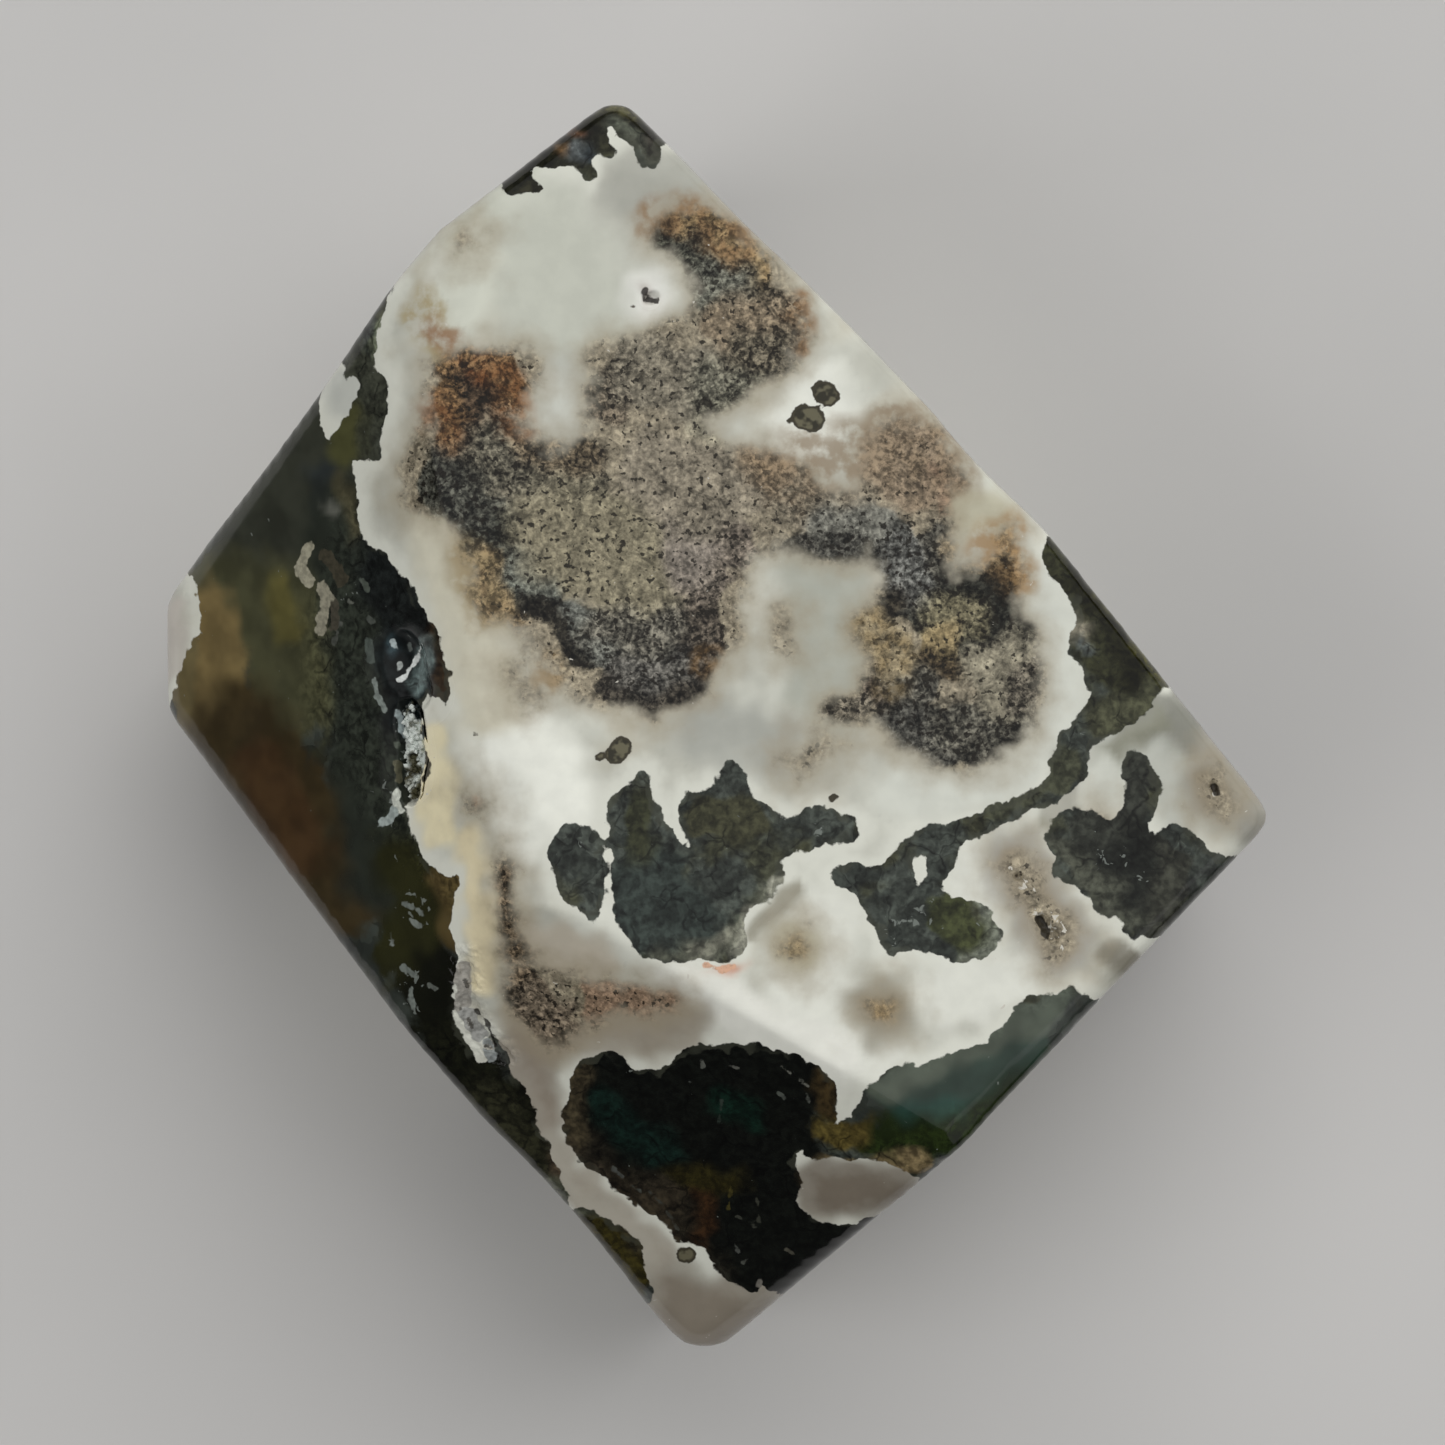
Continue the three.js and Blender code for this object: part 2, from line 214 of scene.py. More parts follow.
def polished(skin, hold, passes):
    """Eases a bmesh's points over their neighbours, and hold (0 to 1) keeps them back."""
    skin.verts.index_update()
    edges = np.array([[vert.index for vert in edge.verts] for edge in skin.edges])
    places = places_of(skin)
    count = np.bincount(edges.ravel(), minlength=len(places))[:, None]
    for _ in range(passes):
        total = np.zeros_like(places)
        np.add.at(total, edges[:, 0], places[edges[:, 1]])
        np.add.at(total, edges[:, 1], places[edges[:, 0]])
        places = places + 0.5 * (1.0 - hold)[:, None] * (total / count - places)
    for vert, place in zip(skin.verts, places):
        vert.co = Vector(place) * MM
    skin.normal_update()


cad_stone = merged_copy("stone")
cad_surface = BVHTree.FromBMesh(cad_stone)
skin = bmesh.new()
skin.from_mesh(even_net(cad_stone, WALL_STEP))
skin.normal_update()
split_in_four(skin, [face for face in skin.faces if face.normal.z > FACES_UP])
for vert in skin.verts:
    vert.co = cad_surface.find_nearest(vert.co)[0]
ridge_keep = 1.0 - path_distance(places_of(skin)[:, :2], CRISP_RIDGE) / CRISP_RIDGE_KEEP
polished(skin, np.clip(ridge_keep, 0.0, 1.0), POLISH_PASSES)

# The hollows, in a finer net: each takes the CAD solid's own surface, straight below the skin.
HOLLOWS = BOWL + CLEFT + SEAM + PINHOLES
round_marks = [(radius + MARK_MARGIN, path) for _, radius, path in CHIPS_AND_PAINTED_LIGHT]
split_in_four(skin, faces_near(skin, round_marks + HOLLOWS))
split_in_four(skin, faces_near(skin, HOLLOWS))
plan = places_of(skin)[:, :2]
share = eased(depth_in_strokes(plan, CLEFT + PINHOLES), 0.0, HOLLOW_FADE)
bowl_share = eased(depth_in_strokes(plan, BOWL), 0.0, HOLLOW_FADE)
seam_share = eased(depth_in_strokes(plan, SEAM), 0.0, HOLLOW_FADE)
share = np.maximum.reduce([share, SEAM_SHARE * seam_share, BOWL_SHARE * bowl_share])
share *= np.array([vert.normal.z > FACES_UP for vert in skin.verts])
sunk = np.zeros(len(skin.verts))
skin.verts.ensure_lookup_table()
for index in np.flatnonzero(share):
    vert = skin.verts[index]
    from_above = Vector((vert.co.x, vert.co.y, ABOVE_THE_STONE * MM))
    bottom = cad_surface.ray_cast(from_above, Vector((0.0, 0.0, -1.0)))[0]
    sunk[index] = (vert.co.z - bottom.z) / MM
    vert.co = vert.co.lerp(bottom, share[index])
in_rough = eased(depth_in_strokes(plan, CLEFT + PINHOLES), 0.0, HOLLOW_FADE)
rough_rock = np.maximum(in_rough * eased(sunk, 0.08, 0.35), seam_share * (share > 0.0))
in_hollow = np.maximum.reduce([in_rough, seam_share, bowl_share])
polished(skin, 1.0 - in_hollow * (share > 0.0), 2)
polished(skin, 1.0 - eased(depth_in_strokes(plan, BOWL), -0.4, 0.2) * (share > 0.0), 12)
rough_places = places_of(skin)[rough_rock > 0.0]
lumps = patchiness(rough_places, ROCK_SIZE, Vector((5.0, 2.0, 8.0)))
for index, lump in zip(np.flatnonzero(rough_rock > 0.0), lumps):
    vert = skin.verts[index]
    vert.co += vert.normal * (ROCK_ROUGHNESS * rough_rock[index] * lump * MM)
for vert in skin.verts:
    vert.co.z = max(vert.co.z, 0.0)
bmesh.ops.recalc_face_normals(skin, faces=skin.faces)
places = places_of(skin)
stone_mesh = bpy.data.meshes.new("stone_skin")
skin.to_mesh(stone_mesh)
skin.free()
stone_mesh.shade_smooth()
stone = bpy.data.objects.new("moss_agate_stone", stone_mesh)
bpy.context.scene.collection.objects.link(stone)


# The stone's markings, where they are. Moss agate is pale chalcedony with dark green and brown
# mineral growth in it, and its patches are cut through by the polished faces. Each outline gives
# (x, y) in millimetres seen from above, and runs out past the rim where the patch does.
MOSS_OUTLINES = [
    # the dark left face
    [(-18.6, 27.0), (-16.5, 24.6), (-17.4, 23.0), (-18.0, 21.3), (-18.1, 20.0), (-17.1, 19.8),
     (-17.3, 18.6), (-17.0, 17.8), (-17.6, 16.1), (-17.7, 15.1), (-18.3, 14.8), (-19.3, 15.1),
     (-19.1, 13.6), (-18.8, 10.9), (-17.6, 10.1), (-16.6, 8.9), (-15.7, 8.3), (-15.6, 7.4),
     (-15.0, 6.3), (-14.6, 6.1), (-14.0, 4.4), (-13.7, 3.0), (-13.7, 1.9), (-14.1, 1.3),
     (-14.6, 2.1), (-15.4, 2.1), (-15.2, -1.3), (-15.7, -3.0), (-16.6, -4.0), (-15.9, -5.2),
     (-15.5, -6.3), (-14.1, -7.7), (-13.4, -7.2), (-13.3, -8.1), (-13.8, -10.3), (-13.4, -12.0),
     (-13.4, -13.4), (-13.8, -14.2), (-13.6, -16.2), (-12.4, -17.9), (-11.6, -17.7),
     (-12.0, -15.9), (-11.4, -16.7), (-10.6, -17.7), (-10.8, -18.4), (-9.6, -19.4),
     (-9.1, -21.5), (-8.3, -23.2), (-8.0, -24.7), (-7.4, -26.1), (-8.6, -29.5), (-19.5, -20.5),
     (-26.0, -11.5), (-32.0, -2.5), (-32.5, 0.4), (-30.4, 1.6), (-30.0, 3.8), (-29.2, 5.4),
     (-28.6, 5.8), (-28.6, 6.9), (-28.8, 8.2), (-29.6, 9.2), (-32.0, 10.5), (-30.0, 15.5),
     (-24.5, 22.5)],
    # the olive edge at the lower left
    [(-7.4, -26.1), (-5.9, -26.4), (-4.6, -27.2), (-3.6, -28.1), (-3.2, -29.4), (-3.0, -30.8),
     (-2.8, -31.7), (-4.6, -34.0), (-10.0, -28.6)],
    # the lobed patch in the middle and the small lobe to its left
    [(-7.5, -4.7), (-6.7, -4.6), (-6.0, -4.9), (-5.5, -5.6), (-5.2, -6.6), (-5.1, -7.4),
     (-5.4, -8.9), (-5.4, -9.6), (-6.1, -10.2), (-6.6, -9.8), (-7.3, -9.1), (-8.1, -8.3),
     (-8.5, -7.3), (-8.6, -5.6)],
    [(-5.5, -3.4), (-5.6, -4.2), (-5.2, -4.9), (-5.3, -5.7), (-5.0, -6.5), (-5.3, -7.3),
     (-5.3, -8.0), (-5.1, -8.8), (-5.0, -9.5), (-4.6, -10.5), (-4.0, -11.3), (-3.5, -11.9),
     (-2.4, -12.2), (-0.3, -12.4), (1.6, -12.3), (2.2, -11.7), (2.3, -10.6), (2.2, -9.6),
     (3.2, -9.2), (4.1, -8.5), (4.5, -7.6), (4.3, -6.8), (4.7, -6.3), (5.8, -6.4), (7.0, -6.1),
     (8.1, -5.8), (8.6, -5.1), (8.0, -4.3), (7.0, -3.7), (6.1, -3.8), (5.1, -4.1), (4.5, -4.5),
     (3.5, -3.8), (2.7, -3.2), (2.4, -2.7), (2.5, -2.2), (2.1, -1.6), (1.7, -1.1), (1.1, -1.2),
     (0.9, -1.9), (0.4, -2.1), (0.3, -2.7), (-0.3, -3.1), (-0.8, -2.9), (-1.2, -2.7),
     (-1.3, -3.5), (-1.6, -4.3), (-1.4, -5.2), (-0.8, -6.2), (-1.2, -5.8), (-1.9, -4.7),
     (-2.6, -3.5), (-2.7, -2.2), (-3.2, -1.8), (-3.8, -1.9), (-4.2, -2.7), (-5.0, -3.0)],
    # the branch that runs in from the right edge
    [(18.1, 10.2), (18.5, 9.0), (19.3, 7.9), (20.1, 6.8), (19.7, 5.5), (19.9, 4.2), (20.5, 3.0),
     (20.8, 2.2), (20.2, 1.3), (19.3, 0.1), (18.8, -1.1), (18.6, -2.4), (16.8, -3.2),
     (15.2, -3.9), (13.5, -4.6), (11.4, -4.7), (10.6, -5.8), (9.2, -7.2), (7.6, -6.7),
     (6.9, -7.2), (6.8, -8.1), (8.0, -8.6), (8.5, -10.0), (9.5, -10.8), (9.6, -11.6),
     (10.2, -12.0), (11.5, -11.6), (12.2, -12.1), (14.3, -12.5), (16.0, -11.5), (16.1, -10.5),
     (15.4, -9.0), (13.3, -8.8), (12.8, -8.1), (13.7, -7.3), (13.8, -6.1), (16.2, -5.0),
     (17.7, -4.3), (19.4, -3.5), (20.6, -2.6), (21.0, -1.7), (21.1, -0.9), (21.5, -0.4),
     (22.3, 0.0), (23.2, 0.6), (24.1, 1.1), (24.5, 1.8), (24.7, 2.5), (26.4, 2.5),
     (25.5, 8.0), (20.0, 14.0)],
    # the patch at the right edge
    [(18.3, -5.8), (18.8, -4.6), (19.4, -3.9), (20.4, -3.7), (21.4, -4.2), (22.1, -4.6),
     (22.9, -3.1), (22.5, -1.4), (23.1, -0.7), (24.0, -0.8), (24.5, -1.7), (25.1, -2.8),
     (24.7, -3.8), (24.2, -4.8), (24.5, -5.5), (25.0, -4.6), (25.9, -4.8), (26.7, -5.3),
     (27.3, -6.1), (29.4, -6.8), (31.0, -7.5), (29.5, -11.5), (27.0, -14.0), (25.2, -11.3),
     (23.9, -10.9), (23.2, -11.2), (22.5, -10.7), (22.2, -9.8), (21.9, -10.0), (21.1, -9.7),
     (20.7, -8.7), (19.6, -8.2), (18.7, -7.3), (19.0, -6.5)],
    # the teal patch on the lower right edge
    [(7.1, -21.2), (7.9, -20.4), (8.5, -19.4), (8.4, -18.9), (10.2, -17.8), (12.2, -17.6),
     (13.5, -16.8), (14.9, -16.8), (15.8, -15.8), (17.2, -14.1), (18.4, -13.8), (19.5, -13.5),
     (20.5, -13.9), (22.2, -14.6), (24.5, -15.5), (20.5, -20.5), (15.5, -25.5), (12.5, -25.0),
     (10.9, -23.7), (9.0, -23.2), (7.4, -23.2), (5.8, -23.3), (5.0, -22.9), (5.7, -22.0)],
    # the black patch on the front face
    [(-7.3, -17.9), (-6.3, -17.3), (-5.1, -17.1), (-4.3, -17.4), (-4.0, -17.9), (-3.0, -18.3),
     (-2.0, -17.8), (-1.4, -17.1), (-0.3, -16.6), (0.6, -16.8), (1.0, -16.5), (2.2, -16.6),
     (3.1, -16.5), (3.9, -17.0), (5.1, -17.1), (6.3, -17.8), (7.2, -18.8), (7.4, -19.7),
     (7.1, -20.8), (7.1, -21.8), (5.2, -22.8), (5.0, -23.3), (5.2, -23.9), (5.5, -24.7),
     (5.1, -25.5), (5.9, -26.4), (7.0, -26.8), (7.9, -26.7), (9.6, -26.2), (11.1, -26.1),
     (12.0, -28.5), (8.0, -32.5), (5.5, -33.0), (4.7, -31.2), (4.0, -31.2), (3.5, -30.8),
     (3.1, -30.5), (2.8, -31.2), (1.8, -30.7), (0.9, -30.2), (0.4, -29.4), (-0.1, -28.6),
     (-0.9, -28.3), (-1.9, -28.0), (-2.4, -27.1), (-3.5, -26.5), (-4.5, -25.8), (-5.6, -24.7),
     (-6.5, -24.1), (-7.3, -23.3), (-7.8, -22.1), (-8.0, -20.8), (-7.6, -19.6)],
    # the top tip
    [(-11.3, 30.2), (-10.9, 29.5), (-10.4, 29.3), (-9.9, 29.2), (-9.3, 29.3), (-8.8, 29.6),
     (-9.0, 30.2), (-9.3, 30.6), (-9.0, 30.8), (-8.4, 30.7), (-7.7, 30.7), (-7.2, 30.7),
     (-6.9, 30.4), (-6.6, 30.0), (-6.0, 30.0), (-5.7, 30.4), (-5.9, 31.0), (-5.9, 31.3),
     (-5.6, 31.5), (-5.1, 31.4), (-4.7, 31.5), (-4.6, 31.9), (-5.0, 32.4), (-5.3, 32.8),
     (-5.1, 33.0), (-4.7, 32.4), (-4.3, 32.0), (-4.0, 31.5), (-3.7, 31.0), (-3.2, 30.8),
     (-2.7, 30.7), (-2.3, 31.1), (-2.2, 31.6), (-2.3, 32.1), (-2.0, 32.4), (-1.6, 33.0),
     (-0.5, 34.0), (-2.5, 37.5), (-7.0, 38.0), (-11.5, 33.5), (-12.3, 31.0)],
]
PALE_WINDOWS = [
    [(-19.9, 20.5), (-20.0, 19.9), (-19.8, 19.5), (-19.0, 19.3), (-19.2, 18.4), (-19.5, 17.6),
     (-20.3, 16.8), (-20.9, 16.3), (-21.1, 17.6), (-21.3, 18.8), (-20.8, 20.2)],
    [(11.8, -6.3), (12.0, -6.9), (11.9, -7.8), (11.5, -8.1), (11.3, -7.4), (11.4, -6.6)],
]
# Two fields of fine grey-brown crystals, polished flat, and the streak below the left one.
GRAIN_OUTLINES = [
    [(-3.1, 27.9), (-1.4, 28.7), (0.5, 28.7), (2.2, 27.4), (3.8, 25.8), (5.3, 24.0),
     (5.6, 21.2), (4.3, 19.8), (2.4, 18.2), (0.5, 17.4), (0.2, 16.3), (2.2, 15.8), (5.0, 15.2),
     (5.8, 13.6), (7.4, 12.9), (8.6, 13.6), (8.8, 15.4), (9.6, 17.0), (11.4, 17.4), (13.1, 16.1),
     (14.1, 14.4), (13.6, 12.8), (13.3, 11.7), (13.2, 9.8), (13.9, 8.7), (15.2, 9.5),
     (16.6, 11.7), (17.1, 11.2), (17.2, 9.0), (17.1, 7.4), (17.9, 5.7), (18.3, 3.6),
     (18.3, 1.7), (17.4, -0.2), (16.0, -1.4), (13.8, -2.0), (11.7, -1.6), (10.3, -0.5),
     (9.5, 0.6), (7.9, 0.7), (6.2, 0.7), (6.1, 1.8), (7.9, 2.2), (8.8, 4.1), (8.0, 5.2),
     (8.2, 6.5), (9.5, 7.3), (9.9, 8.7), (9.2, 9.8), (7.9, 9.5), (6.0, 9.5), (4.3, 10.3),
     (2.6, 9.5), (2.4, 7.3), (1.8, 5.2), (1.2, 4.2), (0.0, 2.0), (-2.5, 0.9), (-5.1, 1.4),
     (-7.6, 2.4), (-9.0, 4.0), (-10.2, 5.9), (-11.7, 6.2), (-12.5, 7.3), (-13.0, 9.5),
     (-13.5, 11.1), (-14.4, 11.9), (-16.6, 12.3), (-16.9, 13.9), (-16.0, 15.8), (-15.2, 16.8),
     (-15.2, 19.8), (-14.4, 20.9), (-9.5, 20.9), (-8.7, 19.8), (-9.7, 18.2), (-10.0, 16.8),
     (-9.0, 15.7), (-7.6, 15.9), (-6.5, 16.8), (-6.2, 18.2), (-6.5, 20.8), (-4.2, 21.8),
     (-1.0, 22.8), (-0.6, 23.8), (-0.8, 25.3), (-2.4, 26.1)],
    [(-11.2, -5.9), (-10.4, -6.2), (-10.2, -8.9), (-10.1, -11.6), (-9.2, -12.6), (-7.3, -13.0),
     (-4.6, -13.2), (-1.3, -13.7), (-0.8, -14.4), (-2.4, -15.0), (-5.2, -15.4), (-7.1, -16.1),
     (-7.9, -17.2), (-9.3, -17.0), (-10.4, -15.0), (-10.9, -13.0), (-11.3, -10.5),
     (-11.4, -7.8)],
]
# The marks below are strokes: (radius, path).
GRAIN_SPOTS = [
    (0.4, [(-12.9, 26.8)]), (0.5, [(5.1, -11.3)]), (0.5, [(9.6, -14.8)]), (0.4, [(-12.4, -3.7)]),
    (0.7, [(17.1, -7.3), (18.2, -9.7), (19.3, -11.3)]), (0.6, [(27.7, -2.7), (27.9, -3.5)]),
    (0.4, [(4.3, 5.7), (4.4, 5.2)]), (0.4, [(6.9, 1.1), (6.5, -0.5), (5.1, -1.6)]),
    (0.3, [(-10.3, 3.0), (-9.7, 2.5)]), (0.2, [(21.4, -4.6)]),
]
# Where the moss of the left face is clear and smooth, so that its colours show softly.
CLEAR_MOSS = [
    (4.2, [(-23.0, 16.0), (-26.4, 8.0), (-26.6, 0.0), (-21.6, -7.6), (-17.0, -12.0)]),
    (1.8, [(9.8, -19.6), (13.8, -18.6), (19.2, -15.8)]),
]
# Where the left grain field is calm, with few dark grains.
CALM_GRAIN = [(2.2, [(-7.8, 10.3), (-4.6, 9.5), (-1.9, 7.9)]), (0.9, [(-12.4, 12.6)]),
              (0.8, [(-6.4, -14.5), (-1.0, -14.5)])]
RINGED_SPOTS = [
    (0.65, [(6.4, 18.7), (6.7, 18.5)]), (0.75, [(5.4, 17.3), (5.8, 17.2)]), (0.2, [(4.6, 17.0)]),
    (0.6, [(-4.5, -0.6), (-4.9, -1.0)]),
    (0.3, [(-5.7, -1.2)]), (0.3, [(6.9, -3.4)]), (0.2, [(1.6, 9.2)]), (0.2, [(-12.4, 0.1)]),
    (0.2, [(7.0, 19.0)]), (0.2, [(-4.9, 32.6)]), (0.5, [(-1.2, -28.9), (-1.0, -28.9)]),
    (0.5, [(9.6, -27.3)]),
]
# Strokes of colour: (screen colour from 0 to 255, radius, path).
MOSS_TINTS_AND_HIGHLIGHT = [
    # the left face, from its top corner down to the bottom tip
    ((52, 54, 45), 3.0, [(-20.5, 18.0), (-24.5, 12.5), (-21.0, 13.5)]),
    ((45, 50, 50), 0.8, [(-21.0, 14.1), (-20.6, 11.9)]),
    ((73, 73, 44), 0.8, [(-19.9, 17.3), (-19.8, 15.7)]),
    ((103, 108, 90), 0.3, [(-17.5, 22.2), (-17.3, 19.8)]),
    ((70, 70, 49), 2.2, [(-27.0, 7.6), (-23.6, 7.0), (-22.6, 3.0)]),
    ((92, 87, 49), 0.6, [(-23.8, 8.2), (-23.2, 5.7)]),
    ((118, 102, 66), 1.1, [(-28.2, 7.3), (-27.3, 4.2), (-28.6, 2.0)]),
    ((108, 97, 66), 0.6, [(-29.7, 5.0), (-29.6, 0.0)]),
    ((58, 48, 28), 2.8, [(-26.5, -0.4), (-24.4, -3.6), (-21.0, -8.1)]),
    ((66, 48, 28), 1.4, [(-24.9, -2.0), (-22.6, -6.4)]),
    ((40, 44, 37), 2.0, [(-19.8, 11.8), (-18.4, 5.2), (-18.2, -2.5), (-17.8, -7.4)]),
    ((21, 24, 23), 1.2, [(-18.0, 9.4), (-16.4, 6.0), (-16.6, 1.0)]),
    ((40, 40, 18), 1.3, [(-17.0, -7.0), (-15.2, -8.6), (-16.4, -12.0)]),
    ((80, 68, 40), 0.5, [(-14.3, -7.8), (-13.6, -10.9)]),
    ((16, 17, 8), 1.6, [(-14.8, -13.6), (-13.4, -18.4), (-11.0, -21.0)]),
    ((35, 35, 23), 1.4, [(-12.0, -20.6), (-9.6, -24.6)]),
    ((46, 41, 14), 1.2, [(-5.9, -27.7), (-4.3, -29.9)]),
    ((73, 70, 52), 0.3, [(-20.0, 14.1), (-19.5, 12.6), (-19.2, 11.2)]),
    ((97, 98, 90), 0.1, [(-20.9, 12.8), (-20.3, 12.4)]),
    ((44, 33, 21), 0.5, [(-14.4, 5.2), (-14.2, 1.9)]),
    ((19, 26, 27), 1.0, [(-16.8, 4.4), (-16.0, 2.6)]),
    ((84, 94, 92), 0.2, [(-15.2, 5.0), (-15.1, 3.8)]),
    # a painted bluish-white highlight on the bowl's right side
    ((96, 110, 108), 0.30, [(-15.4, 4.2), (-15.6, 3.4), (-15.9, 2.6)]),
    ((14, 18, 18), 0.5, [(-17.0, 4.4), (-16.8, 2.4), (-16.9, 0.9)]),
    ((57, 73, 78), 0.2, [(-17.2, 4.9)]),
    # the top tip
    ((50, 48, 32), 0.6, [(-10.5, 29.9), (-9.5, 30.0)]),
    ((44, 44, 30), 0.5, [(-8.7, 31.2), (-7.3, 31.2)]),
    ((52, 52, 36), 0.5, [(-6.4, 33.0), (-5.4, 31.9)]),
    ((56, 52, 42), 0.4, [(-5.4, 33.7), (-5.5, 33.0)]),
    ((26, 26, 18), 1.2, [(-10.8, 30.2), (-8.6, 31.8), (-6.0, 33.2), (-4.0, 34.4), (-2.4, 33.4)]),
    ((74, 72, 48), 0.3, [(-5.5, 34.6), (-4.6, 34.5), (-3.9, 34.2)]),
    ((82, 86, 74), 0.2, [(-5.0, 33.4), (-4.2, 32.9), (-3.8, 32.6)]),
    ((70, 72, 62), 0.2, [(-4.0, 32.5), (-3.4, 31.9), (-2.9, 31.3)]),
    ((50, 48, 42), 0.3, [(-2.9, 32.6), (-2.7, 31.8)]),
    ((92, 72, 50), 0.1, [(-8.3, 32.0), (-7.4, 32.0)]),
    ((86, 64, 50), 0.1, [(-7.4, 32.9), (-6.7, 32.8)]),
    ((94, 100, 100), 0.2, [(-7.1, 31.9), (-6.6, 31.6)]),
    ((44, 52, 56), 0.2, [(-6.2, 31.7), (-5.9, 31.4)]),
    # the lobed patch in the middle
    ((43, 50, 46), 2.0, [(-3.0, -8.6), (-1.6, -10.4)]),
    ((54, 54, 38), 0.8, [(0.0, -4.3), (2.6, -4.6)]),
    ((46, 48, 32), 0.5, [(-3.6, -3.4), (-3.5, -6.4)]),
    ((78, 80, 68), 0.4, [(-2.6, -12.0), (1.4, -11.4), (3.4, -8.6)]),
    ((108, 108, 95), 0.3, [(-0.4, -11.7), (1.7, -10.9)]),
    ((140, 140, 126), 0.2, [(4.3, -7.2), (4.0, -8.7), (2.6, -9.4), (2.1, -10.6), (2.0, -12.0)]),
    # the branch, the patch at the right edge and the teal patch
    ((42, 43, 27), 1.7, [(18.8, 9.6), (21.6, 5.6), (24.6, 2.6)]),
    ((22, 22, 10), 0.7, [(20.4, 8.6), (22.9, 5.4), (23.4, 2.9)]),
    ((66, 64, 22), 0.5, [(22.0, 8.0), (24.4, 4.8), (25.4, 3.4)]),
    ((134, 128, 112), 0.4, [(19.6, 6.4), (20.4, 5.4)]),
    ((104, 112, 110), 0.1, [(20.4, 4.9), (20.8, 4.6)]),
    ((64, 65, 48), 0.8, [(21.5, 0.8), (25.0, 1.8)]),
    ((54, 58, 34), 0.8, [(13.0, -9.7), (14.6, -11.1)]),
    ((104, 108, 96), 0.3, [(15.2, -9.2), (16.0, -10.6), (15.6, -11.8), (14.2, -12.4)]),
    ((58, 60, 46), 0.6, [(16.0, -3.9), (19.8, -1.8)]),
    ((24, 26, 22), 1.8, [(22.8, -6.2), (23.6, -8.4)]),
    ((52, 53, 45), 0.7, [(25.4, -6.6), (24.6, -10.0)]),
    ((66, 68, 58), 0.5, [(19.6, -6.0), (20.9, -7.8), (22.9, -9.8)]),
    ((44, 46, 40), 0.8, [(20.6, -5.4), (22.6, -4.6), (23.4, -2.2)]),
    ((50, 64, 56), 0.9, [(10.5, -19.4), (13.8, -19.0), (17.0, -16.9)]),
    ((40, 66, 58), 0.5, [(10.8, -20.6), (15.2, -20.2), (18.0, -18.0)]),
    ((80, 87, 76), 0.6, [(9.5, -19.1), (13.8, -17.2), (19.2, -14.5)]),
    ((30, 40, 14), 0.9, [(9.5, -21.9), (13.8, -21.6), (18.6, -18.4)]),
    ((112, 98, 70), 0.4, [(5.7, -24.0), (11.7, -23.3)]),
    # the black patch on the front face
    ((46, 40, 30), 1.6, [(-6.6, -18.6), (-7.0, -21.6), (-4.0, -25.4), (0.6, -28.8)]),
    ((9, 11, 8), 3.2, [(-3.4, -20.8), (2.0, -20.4), (2.6, -26.4), (4.6, -29.4)]),
    ((9, 11, 8), 1.4, [(-5.8, -18.8), (-0.4, -18.0), (5.6, -18.8)]),
    ((9, 11, 8), 1.6, [(5.2, -28.4), (9.6, -28.4)]),
    ((10, 26, 21), 0.8, [(-5.6, -20.2), (-4.4, -22.0), (-2.4, -22.8)]),
    ((8, 28, 20), 0.6, [(0.8, -20.0), (2.4, -20.6)]),
    ((36, 32, 10), 0.6, [(-1.4, -24.2), (1.4, -24.8)]),
    ((44, 28, 14), 0.4, [(-0.3, -25.4), (0.0, -27.5)]),
    ((50, 40, 22), 0.3, [(6.4, -18.6), (7.0, -20.3)]),
    ((76, 66, 32), 0.5, [(6.6, -21.6), (8.6, -21.6)]),
    ((62, 55, 40), 0.35, [(-7.1, -18.4), (-7.4, -20.5), (-7.0, -22.3)]),
    ((70, 62, 50), 0.25, [(-7.3, -23.5), (-6.5, -24.0)]),
    ((66, 56, 44), 0.3, [(-8.5, -23.5), (-8.2, -24.5)]),
    ((66, 68, 56), 0.4, [(-8.5, -25.1), (-7.4, -26.2)]),
]
